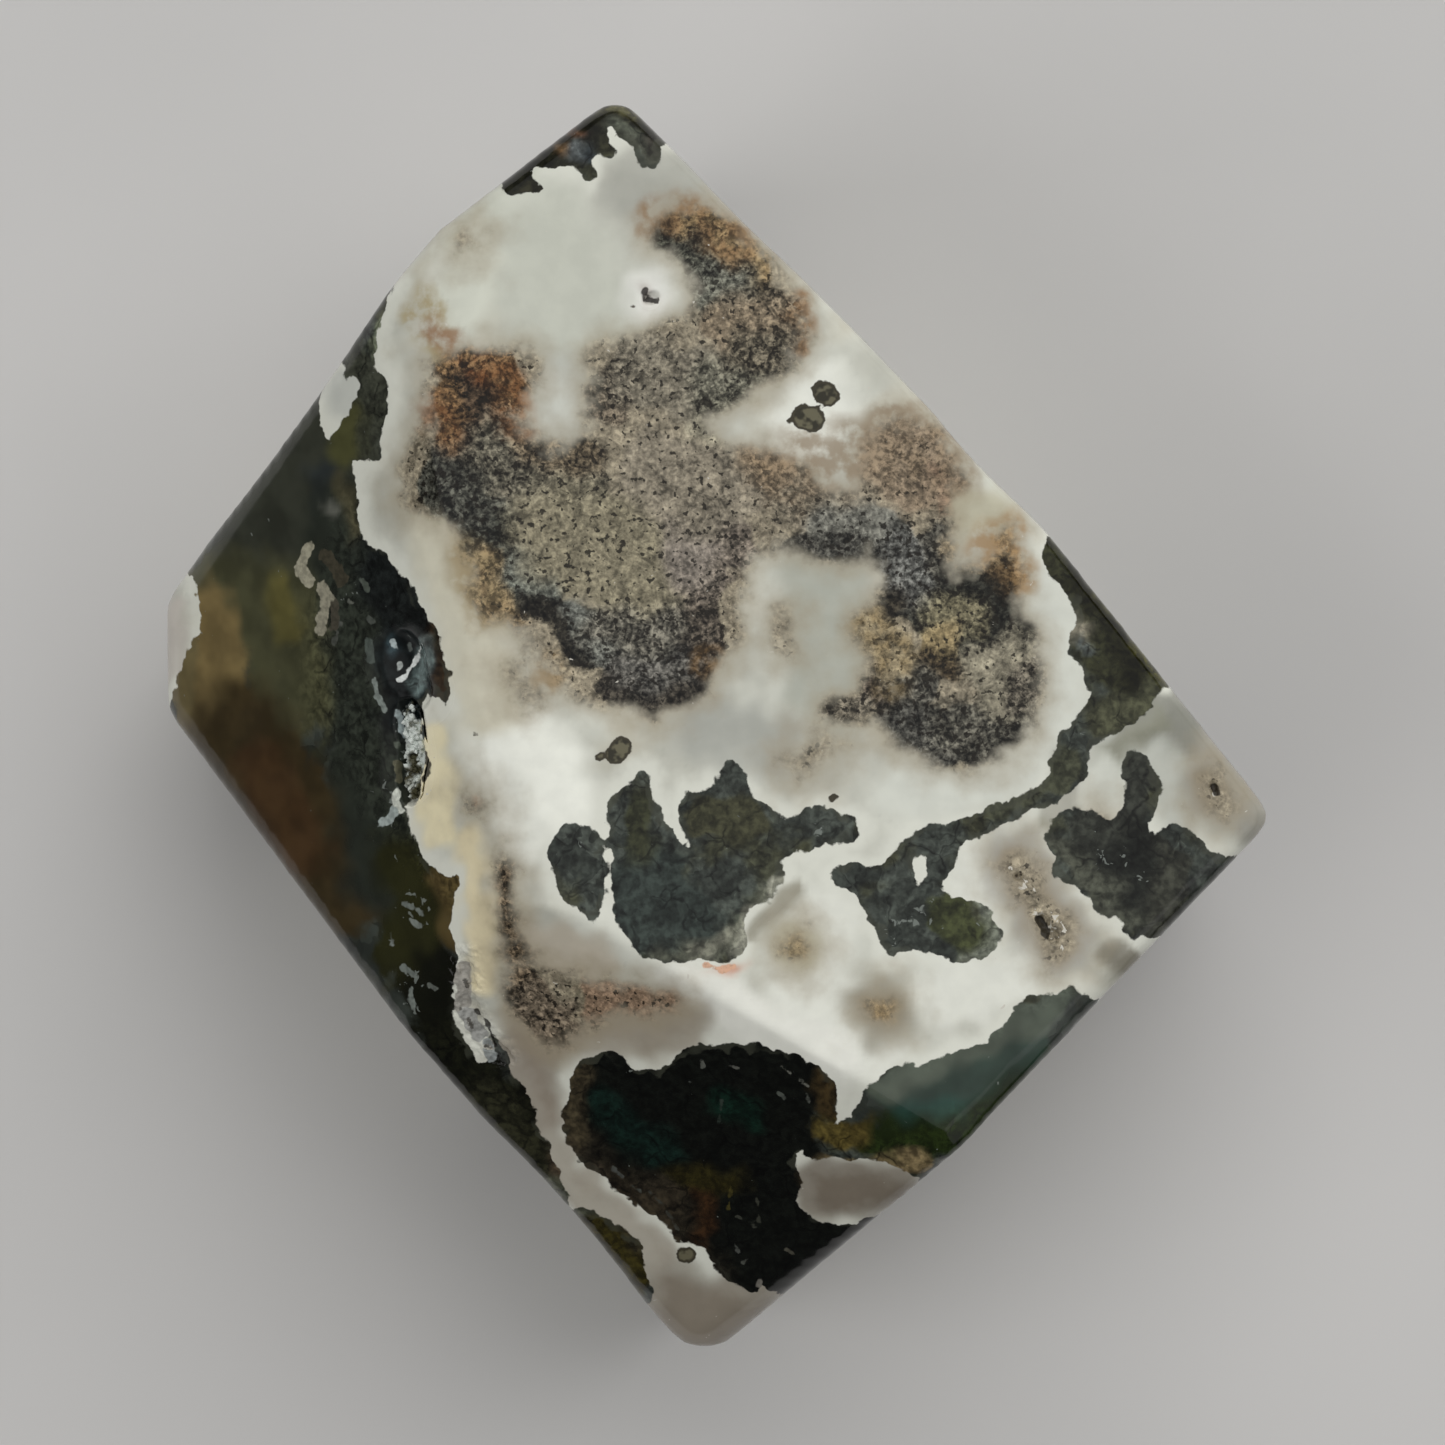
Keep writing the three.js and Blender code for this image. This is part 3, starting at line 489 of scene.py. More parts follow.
PALE_TINTS = [
    # the top face
    ((198, 200, 187), 3.3, [(-10.0, 27.4), (-7.9, 23.6), (-5.7, 22.0)]),
    ((212, 214, 200), 1.3, [(-12.6, 25.6), (-13.4, 22.8)]),
    ((172, 172, 162), 1.6, [(-3.8, 30.0), (-0.3, 30.6), (3.0, 26.4)]),
    ((188, 190, 180), 1.3, [(-7.8, 19.2), (-7.4, 17.0)]),
    ((178, 180, 168), 2.2, [(6.5, 8.7), (7.0, 2.5)]),
    ((190, 186, 164), 1.2, [(14.2, 12.4), (15.6, 12.2)]),
    ((214, 216, 205), 1.2, [(19.3, 8.5), (19.6, 5.2), (19.2, 0.8), (16.0, -2.6), (10.6, -3.0)]),
    ((240, 241, 230), 2.2, [(-10.4, -0.6), (-8.4, -3.2)]),
    ((172, 173, 164), 1.6, [(0.0, 0.4), (3.4, -0.6)]),
    ((226, 227, 216), 1.6, [(6.6, -10.0), (5.4, -13.6), (9.0, -17.0)]),
    ((226, 227, 216), 1.3, [(15.0, -7.0), (13.0, -14.4), (17.0, -13.0)]),
    ((206, 150, 124), 0.25, [(0.1, -12.75), (1.6, -12.5)]),
    ((184, 186, 176), 1.3, [(22.3, -0.2), (25.0, -1.6), (26.2, -4.2)]),
    ((136, 136, 126), 1.0, [(23.4, 0.6), (25.4, 1.4), (26.6, 0.0)]),
    ((156, 154, 144), 1.2, [(28.4, -0.6), (29.8, -4.4)]),
    ((132, 128, 114), 0.6, [(22.2, -11.8), (24.2, -13.2)]),
    ((206, 208, 198), 1.0, [(-8.4, 19.0), (-8.2, 17.4)]),
    ((134, 134, 118), 0.5, [(24.6, 1.0), (22.6, -0.6), (21.8, -1.4)]),
    ((146, 146, 130), 0.4, [(20.0, -4.2), (18.6, -4.8)]),
    ((150, 146, 130), 0.4, [(2.6, -10.8), (3.4, -9.6), (4.6, -8.6)]),
    ((168, 166, 154), 0.7, [(20.0, -1.6), (19.4, -4.2)]),
    ((208, 210, 199), 0.8, [(21.6, -2.2), (21.8, -3.4)]),
    ((236, 237, 226), 1.5, [(6.4, 18.3), (5.2, 16.6)]),
    # round the small hollows with coarse white grains
    ((172, 172, 166), 1.5, [(17.0, -6.8), (18.2, -9.7), (19.2, -11.2)]),
    ((146, 138, 124), 0.8, [(17.0, -7.2), (18.2, -9.7), (19.0, -11.0)]),
    ((112, 102, 86), 0.3, [(17.6, -8.8), (18.3, -10.0), (18.9, -10.9)]),
    ((154, 152, 142), 1.2, [(27.5, -2.7), (27.8, -3.5)]),
    ((118, 110, 96), 0.5, [(27.5, -2.7), (27.8, -3.4)]),
    ((186, 182, 160), 1.2, [(5.1, -11.3)]),
    ((150, 138, 110), 0.3, [(5.1, -11.3)]),
    ((150, 146, 132), 1.5, [(9.6, -14.8)]),
    ((128, 118, 98), 0.6, [(9.6, -14.8)]),
    # the bright ring round the pinholes of the top face
    ((232, 232, 224), 1.1, [(-3.0, 23.8)]),
    ((196, 190, 182), 0.4, [(-3.2, 23.9)]),
    # the shoulder and the pale part of the left face
    ((212, 208, 188), 1.6, [(-14.4, 11.1), (-12.7, 5.2), (-11.8, 1.9)]),
    ((236, 226, 190), 0.9, [(-15.0, -0.3), (-14.5, -5.2)]),
    ((232, 220, 184), 0.7, [(-12.8, -6.0), (-12.2, -9.6), (-12.1, -13.2)]),
    ((230, 231, 220), 1.0, [(-10.4, -3.0), (-9.8, -5.6)]),
    ((196, 198, 190), 1.1, [(-19.7, 19.2), (-19.5, 18.4)]),
    # the front face, which is greyer and a little see-through, and darker towards its bottom tip
    ((232, 232, 222), 1.2, [(-1.0, -13.2), (3.0, -15.6), (6.6, -17.6)]),
    ((196, 188, 171), 1.3, [(-9.4, -11.4), (-6.4, -12.4)]),
    ((160, 152, 137), 1.5, [(-9.6, -16.4), (-5.5, -16.0), (-1.5, -15.8)]),
    ((148, 138, 124), 1.4, [(-10.4, -18.0), (-9.2, -21.4)]),
    ((170, 163, 149), 1.2, [(-8.4, -23.6), (-6.4, -25.8), (-3.0, -28.8)]),
    ((140, 131, 117), 2.2, [(-1.8, -32.0), (-0.5, -34.5), (2.5, -31.8)]),
    ((122, 113, 100), 1.6, [(6.2, -25.0), (10.1, -24.8)]),
    ((196, 190, 180), 0.8, [(-30.4, 7.0), (-30.6, 4.0)]),
]
GRAIN_TINTS = [
    # the left field: its orange corner, its dark rim, the light band inside it and its middle
    ((62, 50, 38), 1.1, [(-12.7, 19.0), (-12.2, 17.3), (-12.7, 16.0)]),
    ((96, 76, 52), 0.7, [(-14.0, 20.4), (-12.7, 20.8), (-11.1, 20.0), (-10.3, 18.4)]),
    ((102, 80, 54), 0.6, [(-14.2, 18.2), (-13.7, 16.5)]),
    ((88, 84, 72), 1.6, [(-11.1, 15.4), (-8.9, 14.4), (-7.3, 13.3)]),
    ((90, 80, 64), 0.9, [(-9.5, 15.6), (-6.8, 15.1)]),
    ((64, 64, 57), 1.3, [(-14.1, 13.8), (-13.1, 12.5), (-11.6, 11.1), (-10.0, 10.3)]),
    ((30, 32, 28), 0.5, [(-10.8, 11.2), (-9.7, 10.3)]),
    ((64, 66, 58), 0.8, [(-12.2, 9.8), (-10.8, 7.9)]),
    ((98, 102, 94), 0.7, [(-10.0, 9.4), (-8.9, 8.0)]),
    ((124, 106, 78), 0.8, [(-12.3, 9.2), (-11.5, 7.3), (-11.0, 6.0)]),
    ((130, 123, 102), 2.2, [(-7.8, 11.1), (-4.6, 10.0), (-3.0, 8.4)]),
    ((31, 29, 24), 0.65, [(-9.4, 7.3), (-7.7, 6.0), (-6.2, 4.3)]),
    ((54, 50, 43), 0.6, [(-5.1, 2.5), (-3.0, 1.8), (-0.7, 2.5), (-0.2, 3.8)]),
    ((48, 50, 47), 0.5, [(-2.7, 4.9), (-1.6, 4.7)]),
    ((116, 118, 110), 0.5, [(-7.2, 6.8), (-6.2, 5.7), (-5.2, 4.3)]),
    ((74, 72, 67), 0.7, [(-4.6, 3.8), (-3.2, 3.5), (-1.8, 3.6), (-0.8, 3.9)]),
    ((84, 81, 72), 0.9, [(-5.7, 5.7), (-3.5, 5.4), (-1.3, 6.0)]),
    ((66, 60, 52), 0.8, [(-0.3, 5.2), (-0.1, 7.3)]),
    ((98, 90, 80), 0.9, [(-0.3, 8.4), (0.9, 9.8), (1.8, 10.6)]),
    ((122, 114, 104), 1.2, [(-0.8, 9.5), (-0.8, 11.1)]),
    ((130, 122, 106), 1.8, [(-2.4, 14.4), (-0.3, 12.8), (1.4, 13.8)]),
    ((150, 144, 124), 1.0, [(0.3, 17.1), (1.9, 16.8)]),
    ((128, 110, 86), 1.2, [(3.3, 15.5), (4.1, 14.4)]),
    # the left field, its arm towards the tip
    ((84, 76, 64), 0.9, [(-5.4, 17.9), (-5.0, 19.3)]),
    ((112, 106, 92), 1.6, [(-3.5, 19.8), (-0.8, 19.0)]),
    ((92, 90, 78), 1.3, [(0.5, 18.5), (2.4, 19.8)]),
    ((124, 106, 76), 1.0, [(-3.0, 28.3), (-0.8, 28.4), (1.1, 27.8), (2.6, 25.7)]),
    ((58, 58, 50), 0.7, [(-2.7, 27.6), (-1.4, 26.1), (-0.3, 26.4)]),
    ((80, 80, 71), 1.0, [(0.1, 24.5), (1.6, 24.7)]),
    ((62, 58, 48), 0.5, [(3.3, 23.8), (4.3, 21.8)]),
    ((114, 102, 84), 1.2, [(1.4, 22.3), (3.3, 22.5)]),
    ((86, 80, 67), 0.9, [(1.9, 20.8), (4.3, 20.8)]),
    # the right field
    ((136, 121, 101), 1.8, [(9.5, 16.1), (11.7, 14.4)]),
    ((120, 98, 80), 0.6, [(12.8, 14.0), (13.2, 12.8)]),
    ((120, 112, 96), 1.2, [(5.2, 13.0), (7.9, 12.8)]),
    ((62, 60, 54), 0.6, [(4.9, 10.2), (5.7, 10.1)]),
    ((112, 111, 102), 0.7, [(6.5, 11.6), (8.4, 11.6), (9.8, 11.2)]),
    ((58, 57, 52), 0.5, [(6.8, 10.3), (9.0, 10.1), (9.8, 9.2)]),
    ((80, 80, 76), 0.8, [(10.6, 10.3), (11.2, 8.4), (11.7, 7.3)]),
    ((66, 64, 57), 0.7, [(12.5, 10.6), (13.2, 9.0)]),
    ((44, 40, 32), 0.6, [(9.9, 6.7), (10.6, 7.2)]),
    ((38, 38, 32), 0.5, [(11.7, 6.5), (12.3, 6.0)]),
    ((33, 33, 28), 1.2, [(14.1, 8.2), (15.2, 9.0), (15.5, 7.1), (16.7, 6.0), (14.7, 5.2)]),
    ((108, 102, 80), 0.8, [(12.8, 6.7), (14.1, 6.7)]),
    ((124, 110, 80), 0.5, [(12.5, 4.9), (13.2, 5.2)]),
    ((60, 51, 37), 0.5, [(12.2, 4.1), (13.6, 3.7)]),
    ((142, 130, 104), 0.8, [(8.8, 5.8), (9.9, 5.2), (10.4, 3.7)]),
    ((74, 66, 57), 0.6, [(9.1, 2.6), (9.9, 1.8)]),
    ((94, 88, 76), 0.5, [(6.5, 1.3), (8.4, 1.2)]),
    ((62, 61, 56), 1.1, [(11.0, 0.7), (12.2, -0.4), (11.2, -0.9)]),
    ((72, 70, 62), 1.2, [(13.3, 0.4), (16.0, -0.1)]),
    ((134, 128, 110), 1.2, [(15.5, 3.6), (16.8, 3.8), (16.3, 2.2)]),
    ((80, 78, 70), 0.7, [(10.8, 2.7), (11.9, 3.0)]),
    ((82, 77, 67), 0.6, [(17.1, 1.7), (17.7, 3.6)]),
    ((140, 122, 92), 0.9, [(14.3, 10.2), (15.8, 10.6)]),
    # the streak on the front
    ((90, 78, 62), 0.6, [(-10.8, -7.8), (-10.6, -11.1), (-10.1, -13.3)]),
    ((110, 99, 84), 1.0, [(-9.5, -14.4), (-7.9, -16.1)]),
    ((140, 118, 97), 0.9, [(-5.7, -14.4), (-0.8, -14.6)]),
    # the two small spots in the pale stone
    ((126, 108, 78), 0.7, [(9.6, -14.8)]), ((132, 116, 86), 0.7, [(5.1, -11.3)]),
]
STAIN_TINTS = [
    ((164, 146, 100), 0.9, [(-15.2, 22.9), (-14.8, 21.6)]),
    ((140, 96, 52), 0.6, [(-14.9, 22.0), (-14.1, 21.3)]),
    ((138, 84, 46), 0.5, [(-12.7, 19.9), (-11.3, 19.6)]),
    ((130, 86, 50), 0.7, [(-14.9, 17.6), (-13.7, 16.6)]),
    ((146, 100, 60), 0.8, [(-10.6, 19.4), (-10.3, 17.0)]),
    ((140, 110, 76), 0.9, [(-3.0, 27.9), (-0.8, 28.4), (1.6, 26.7)]),
    ((140, 106, 70), 0.5, [(5.2, 23.7), (5.3, 21.2)]),
    ((142, 124, 100), 1.7, [(10.6, 16.6), (12.8, 14.4)]),
    ((146, 128, 104), 1.6, [(9.0, 15.5), (4.0, 14.4)]),
    ((160, 128, 86), 0.8, [(15.2, 10.4), (16.6, 11.2), (16.9, 8.4)]),
    ((140, 122, 88), 0.9, [(8.8, 6.1), (10.2, 4.6), (10.1, 2.5)]),
    ((160, 142, 106), 1.0, [(-13.0, 9.6), (-11.7, 6.8)]),
    ((156, 122, 78), 0.5, [(-0.1, 4.0)]),
    ((150, 128, 94), 0.5, [(-8.2, 3.8), (-8.4, 2.9)]),
    ((156, 116, 84), 0.2, [(-12.4, -3.7)]),
]
# Places in the moss with small bluish-white flecks, and with pale rock in the cleft and the seam.
# Low on the left face these flecks are painted glints, where small bumps catch the light.
FLECK_AND_GLINT_PLACES = [
    (0.7, [(-16.5, -9.3), (-15.5, -9.8)]), (0.5, [(-17.3, -11.1)]),
    (0.7, [(-16.6, -12.8), (-16.1, -15.0)]), (0.6, [(-17.2, -3.0), (-16.9, -4.4)]),
    (0.5, [(-19.7, 7.6), (-18.8, 8.4)]), (0.6, [(-16.4, -6.6)]),
    (0.8, [(-16.5, 0.8), (-16.0, -0.5), (-16.2, -2.2), (-15.8, -3.3)]),
    (0.6, [(17.1, -7.6), (18.2, -9.7), (19.0, -11.0)]), (0.5, [(27.7, -2.9)]),
    (0.4, [(-6.9, 31.9)]), (0.8, [(10.4, -10.4), (12.2, -9.4)]),
    (0.7, [(21.6, -6.2), (23.4, -7.6)]), (0.4, [(-7.2, -6.0)]), (0.4, [(6.0, -5.2)]),
]
OUTLINE_REACH = 4.0
WALL_BLEND = 8.0
WALL_PATCH = 11.0
STROKE_WAVE = 1.3
STROKE_SWAY = 0.7
STROKE_SEED = 160           # without it, each run would sway in another way


def rounded(corners):
    """A closed outline with its corners cut twice."""
    points = np.array(corners, float)
    for _ in range(2):
        ahead = np.roll(points, -1, axis=0)
        cuts = [0.75 * points + 0.25 * ahead, 0.25 * points + 0.75 * ahead]
        points = np.stack(cuts, axis=1).reshape(-1, 2)
    return points


def depth_in_outline(spots, corners):
    """How far inside an outline each spot lies, negative outside it."""
    outline = rounded(corners)
    depth = np.full(len(spots), -OUTLINE_REACH)
    near = np.all(spots > outline.min(0) - OUTLINE_REACH, axis=1)
    near &= np.all(spots < outline.max(0) + OUTLINE_REACH, axis=1)
    close = spots[near]
    closed = np.vstack([outline, outline[:1]])
    distance = np.minimum(path_distance(close, closed), OUTLINE_REACH)
    inside = np.zeros(len(close), bool)
    for start, end in zip(closed[:-1], closed[1:]):
        if start[1] == end[1]:
            continue
        level = (close[:, 1] - start[1]) / (end[1] - start[1])
        crossed = (start[1] > close[:, 1]) != (end[1] > close[:, 1])
        inside ^= crossed & (close[:, 0] < start[0] + level * (end[0] - start[0]))
    depth[near] = np.where(inside, distance, -distance)
    return depth


def light_of(screen_colour):
    """A screen colour from 0 to 255 as linear red, green and blue."""
    share = np.array(screen_colour) / 255.0
    return np.where(share < 0.04045, share / 12.92, ((share + 0.055) / 1.055) ** 2.4)


def painted(spots, strokes):
    """Red, green, blue and strength of soft strokes of colour at each spot."""
    paint = np.zeros((len(spots), 4))
    for screen_colour, radius, path in strokes:
        soft = 0.35 + 0.5 * radius
        strength = eased(radius - path_distance(spots, path), -soft, 0.5 * soft)
        fresh = np.append(light_of(screen_colour), 1.0)
        share = strength / np.maximum(strength + paint[:, 3] * (1.0 - strength), 1e-6)
        paint[:, :3] += share[:, None] * (fresh[:3] - paint[:, :3])
        paint[:, 3] += strength * (1.0 - paint[:, 3])
    return paint


def marked(spots, chips_and_painted_light):
    """The colour of the chip or painted-light mark at or nearest to each spot, and how far inside it
    the spot lies.
    """
    marks = np.zeros((len(spots), 4))
    marks[:, 3] = -OUTLINE_REACH
    for screen_colour, radius, path in chips_and_painted_light:
        depth = radius - path_distance(spots, path)
        nearer = (depth > marks[:, 3]) | (depth > 0.0)
        marks[nearer, :3] = light_of(screen_colour)
        marks[nearer, 3] = depth[nearer]
    return marks


# A spot on a wall takes the marking of the nearest spot that faces up, and with the distance to it
# the marking turns into patches that run on over the hidden sides.
normals = np.empty(len(stone_mesh.vertices) * 3)
stone_mesh.vertices.foreach_get("normal", normals)
facing_up = normals.reshape(-1, 3)[:, 2] > FACES_UP
upper = np.flatnonzero(facing_up)
tree = KDTree(len(upper))
for index in upper:
    tree.insert(places[index], index)
tree.balance()
plan = places[:, :2].copy()
below = np.zeros(len(places))
for index in np.flatnonzero(~facing_up):
    at_rim, rim_index, below[index] = tree.find(places[index])
    plan[index] = at_rim.xy
hidden = np.flatnonzero(~facing_up)
noise.seed_set(STROKE_SEED)
sway = np.array([noise.noise_vector(Vector(point) / STROKE_WAVE).xy for point in places])
wandering = plan + STROKE_SWAY * sway
turned = eased(below, 0.0, WALL_BLEND)
wall_moss = np.zeros(len(places))
wall_moss[hidden] = 5.0 * (patchiness(places[hidden], WALL_PATCH, Vector((3.1, 7.7, 1.3))) - 0.12)
wall_grain = np.zeros(len(places))
wall_grain[hidden] = 4.0 * (patchiness(places[hidden], 8.0, Vector((9.4, 2.2, 5.8))) - 0.5)

moss_depth = np.full(len(places), -OUTLINE_REACH)
for outline in MOSS_OUTLINES:
    moss_depth = np.maximum(moss_depth, depth_in_outline(plan, outline))
for outline in PALE_WINDOWS:
    moss_depth = np.minimum(moss_depth, -depth_in_outline(plan, outline))
grain_depth = 0.6 * depth_in_strokes(plan, GRAIN_SPOTS)
for outline in GRAIN_OUTLINES:
    grain_depth = np.maximum(grain_depth, depth_in_outline(plan, outline))
moss_depth += turned * (wall_moss - moss_depth)
grain_depth += turned * (wall_grain - grain_depth)
ringed = depth_in_strokes(plan, RINGED_SPOTS) * (1.0 - turned) - OUTLINE_REACH * turned
clear = eased(depth_in_strokes(wandering, CLEAR_MOSS), -1.5, 1.0) * (1.0 - turned)
calm = eased(depth_in_strokes(wandering, CALM_GRAIN), -0.8, 0.8) * (1.0 - turned)
flecks_and_glints = eased(depth_in_strokes(wandering, FLECK_AND_GLINT_PLACES), -0.4, 0.4) * (1.0 - turned)

dull = np.maximum(in_rough, bowl_share) * (1.0 - turned)
for name, values in (("moss_depth", moss_depth), ("grain_depth", grain_depth),
                     ("clear", clear), ("calm", calm), ("flecks_and_glints", flecks_and_glints),
                     ("ringed", ringed), ("hollow", rough_rock), ("dull", dull)):
    layer = stone_mesh.attributes.new(name, "FLOAT", "POINT")
    layer.data.foreach_set("value", values)
for name, strokes in (("moss_and_highlight_paint", MOSS_TINTS_AND_HIGHLIGHT), ("pale_paint", PALE_TINTS),
                      ("grain_paint", GRAIN_TINTS), ("stain_paint", STAIN_TINTS)):
    paint = painted(wandering, strokes)
    paint[:, 3] *= 1.0 - turned
    layer = stone_mesh.attributes.new(name, "FLOAT_COLOR", "POINT")
    layer.data.foreach_set("color", paint.ravel())
marks = marked(plan, CHIPS_AND_PAINTED_LIGHT)
marks[:, 3] -= OUTLINE_REACH * turned
layer = stone_mesh.attributes.new("chips_and_painted_light", "FLOAT_COLOR", "POINT")
layer.data.foreach_set("color", marks.ravel())


# The polished agate itself: chalcedony, a little see-through, with a glassy hand polish. The
# moss ends in small round lobes, and each crystal of the grain fields shows as a fleck.
def put(tree, kind, inputs, **settings):
    """Adds a node to a tree, sets it, and links or fills its inputs."""
    node = tree.nodes.new(kind)
    for setting, value in settings.items():
        setattr(node, setting, value)
    for socket, value in inputs.items():
        if isinstance(value, bpy.types.NodeSocket):
            tree.links.new(value, node.inputs[socket])
        else:
            node.inputs[socket].default_value = value
    return node


def fresh_material(name):
    """A new material with an empty node tree."""
    material = bpy.data.materials.new(name)
    material.use_nodes = True
    material.node_tree.nodes.clear()
    return material


def in_millimetres(tree):
    """The place on the stone in millimetres."""
    spot = put(tree, "ShaderNodeTexCoord", {})
    inputs = {0: spot.outputs["Object"], "Scale": 1.0 / MM}
    return put(tree, "ShaderNodeVectorMath", inputs, operation="SCALE").outputs[0]


def cloud(tree, place, size, detail=2.0):
    """Soft noise about size millimetres wide, from 0 to 1."""
    inputs = {"Vector": place, "Scale": 1.0 / size, "Detail": detail}
    return put(tree, "ShaderNodeTexNoise", inputs).outputs["Fac"]


def cells(tree, place, size, feature="F1"):
    """Rounded cells about size millimetres wide."""
    inputs = {"Vector": place, "Scale": 1.0 / size}
    return put(tree, "ShaderNodeTexVoronoi", inputs, feature=feature)


def rise(tree, value, low, high, bottom=0.0, top=1.0):
    """A smooth rise from bottom to top while value goes from low to high."""
    inputs = {"Value": value, "From Min": low, "From Max": high, "To Min": bottom, "To Max": top}
    ramp = put(tree, "ShaderNodeMapRange", inputs, interpolation_type="SMOOTHSTEP")
    return ramp.outputs["Result"]


def sum_up(tree, operation, first, second, third=0.0):
    """One step of arithmetic."""
    inputs = {0: first, 1: second, 2: third}
    return put(tree, "ShaderNodeMath", inputs, operation=operation).outputs[0]


def mixed(tree, share, under, over):
    """Two colours mixed by a share from 0 to 1."""
    inputs = {0: share, 6: under, 7: over}
    return put(tree, "ShaderNodeMix", inputs, data_type="RGBA").outputs[2]


def lit(tree, colour, factor):
    """A colour made lighter or darker by a factor."""
    return put(tree, "ShaderNodeVectorMath", {0: colour, "Scale": factor},
               operation="SCALE").outputs[0]


def tone(red, green, blue):
    """A screen colour from 0 to 255 for a node's socket."""
    return (*light_of((red, green, blue)), 1.0)


def graded(tree, value, stops):
    """The colour that a value has between stops, each a value and a screen colour."""
    node = put(tree, "ShaderNodeValToRGB", {0: value})
    elements = node.color_ramp.elements
    elements.remove(elements[1])
    for position, screen_colour in stops.items():
        elements.new(position).color = tone(*screen_colour)
    elements.remove(elements[0])
    return node.outputs["Color"]


def contrast(tree, value, stops):
    """How much a value lightens or darkens a colour: each stop is a share of its screen tone."""
    greys = {position: (MIDDLE_GREY * share,) * 3 for position, share in stops.items()}
    factor = 1.0 / float(light_of(MIDDLE_GREY))
    return sum_up(tree, "MULTIPLY", graded(tree, value, greys), factor)


def attribute(tree, name):
    """The node that reads one of the markings stored on the stone's skin."""
    return put(tree, "ShaderNodeAttribute", {}, attribute_name=name)


MIDDLE_GREY = 130.0
agate = fresh_material("polished_moss_agate")
tree = agate.node_tree
place = in_millimetres(tree)
drift = put(tree, "ShaderNodeTexNoise", {"Vector": place, "Scale": 0.8, "Detail": 2.0})
bent = put(tree, "ShaderNodeVectorMath",
           {0: drift.outputs["Color"], 1: (1.6, 1.6, 1.6), 2: place}, operation="MULTIPLY_ADD")
bent = bent.outputs[0]
speckle = cloud(tree, place, 0.33, 3.0)

# The moss: its lobed, frayed edge, its plumes of dark colours and its paler veils.
lobes = cells(tree, place, 0.95).outputs["Distance"]
small_lobes = cells(tree, place, 0.40).outputs["Distance"]
fray = rise(tree, cloud(tree, place, 0.4, 2.0), 0.3, 0.7, -0.05, 0.05)
edge = attribute(tree, "moss_depth").outputs["Fac"]
edge = sum_up(tree, "MULTIPLY_ADD", lobes, -0.40, edge)
edge = sum_up(tree, "MULTIPLY_ADD", small_lobes, -0.14, edge)
edge = sum_up(tree, "MULTIPLY_ADD", cloud(tree, place, 2.0), 0.44, edge)
edge = sum_up(tree, "ADD", edge, fray)
moss_share = rise(tree, edge, -0.01, 0.09)
plumes = put(tree, "ShaderNodeSeparateColor", {0: cells(tree, bent, 1.5).outputs["Color"]})
moss = mixed(tree, plumes.outputs[0], tone(38, 42, 38), tone(64, 69, 63))
olive = rise(tree, cloud(tree, place, 2.6, 3.0), 0.50, 0.68, 0.0, 0.7)
moss = mixed(tree, olive, moss, tone(58, 58, 38))
paint = attribute(tree, "moss_and_highlight_paint")
paint_share = sum_up(tree, "MULTIPLY_ADD", cloud(tree, place, 0.7, 3.0), 0.7,
                     paint.outputs["Alpha"])
paint_share = rise(tree, paint_share, 0.45, 1.05)
moss = mixed(tree, paint_share, moss, paint.outputs["Color"])
texture = rise(tree, cloud(tree, bent, 0.7, 4.0), 0.32, 0.68, 0.55, 1.65)
texture = sum_up(tree, "MULTIPLY", texture, rise(tree, speckle, 0.36, 0.62, 0.76, 1.25))
lobe_seams = cells(tree, bent, 1.9, "DISTANCE_TO_EDGE").outputs["Distance"]
seam_shade = rise(tree, lobe_seams, 0.01, 0.06, 1.0, 0.0)
seam_shade = sum_up(tree, "MULTIPLY", seam_shade,
                    rise(tree, cloud(tree, place, 1.7, 3.0), 0.46, 0.56, 0.0, 0.55))
texture = sum_up(tree, "MULTIPLY", texture, sum_up(tree, "SUBTRACT", 1.0, seam_shade))
clear = attribute(tree, "clear").outputs["Fac"]
soft_texture = rise(tree, cloud(tree, place, 2.2, 2.0), 0.30, 0.70, 0.75, 1.2)
texture = put(tree, "ShaderNodeMix", {0: clear, 2: texture, 3: soft_texture}).outputs[0]
moss = lit(tree, moss, texture)
veil_edge = sum_up(tree, "MULTIPLY_ADD", cells(tree, place, 1.1).outputs["Distance"], 0.7, edge)
veil = sum_up(tree, "MULTIPLY", rise(tree, veil_edge, 0.65, 0.80, 0.5, 0.0),
              rise(tree, cloud(tree, place, 3.2), 0.50, 0.60))
veil = sum_up(tree, "MULTIPLY", veil, rise(tree, clear, 0.0, 1.0, 1.0, 0.2))
moss = mixed(tree, veil, moss, tone(70, 72, 61))
# Small bluish-white flecks in the moss; low on the left face they are painted glints of light.
fleck_and_glint_zone = attribute(tree, "flecks_and_glints").outputs["Fac"]
fleck_and_glint_height = sum_up(tree, "MULTIPLY_ADD", fleck_and_glint_zone, 0.16, cloud(tree, bent, 0.45, 2.0))
fleck_and_glint = rise(tree, fleck_and_glint_height, 0.75, 0.80, 0.0, 0.7)
moss = mixed(tree, fleck_and_glint, moss, tone(126, 132, 126))

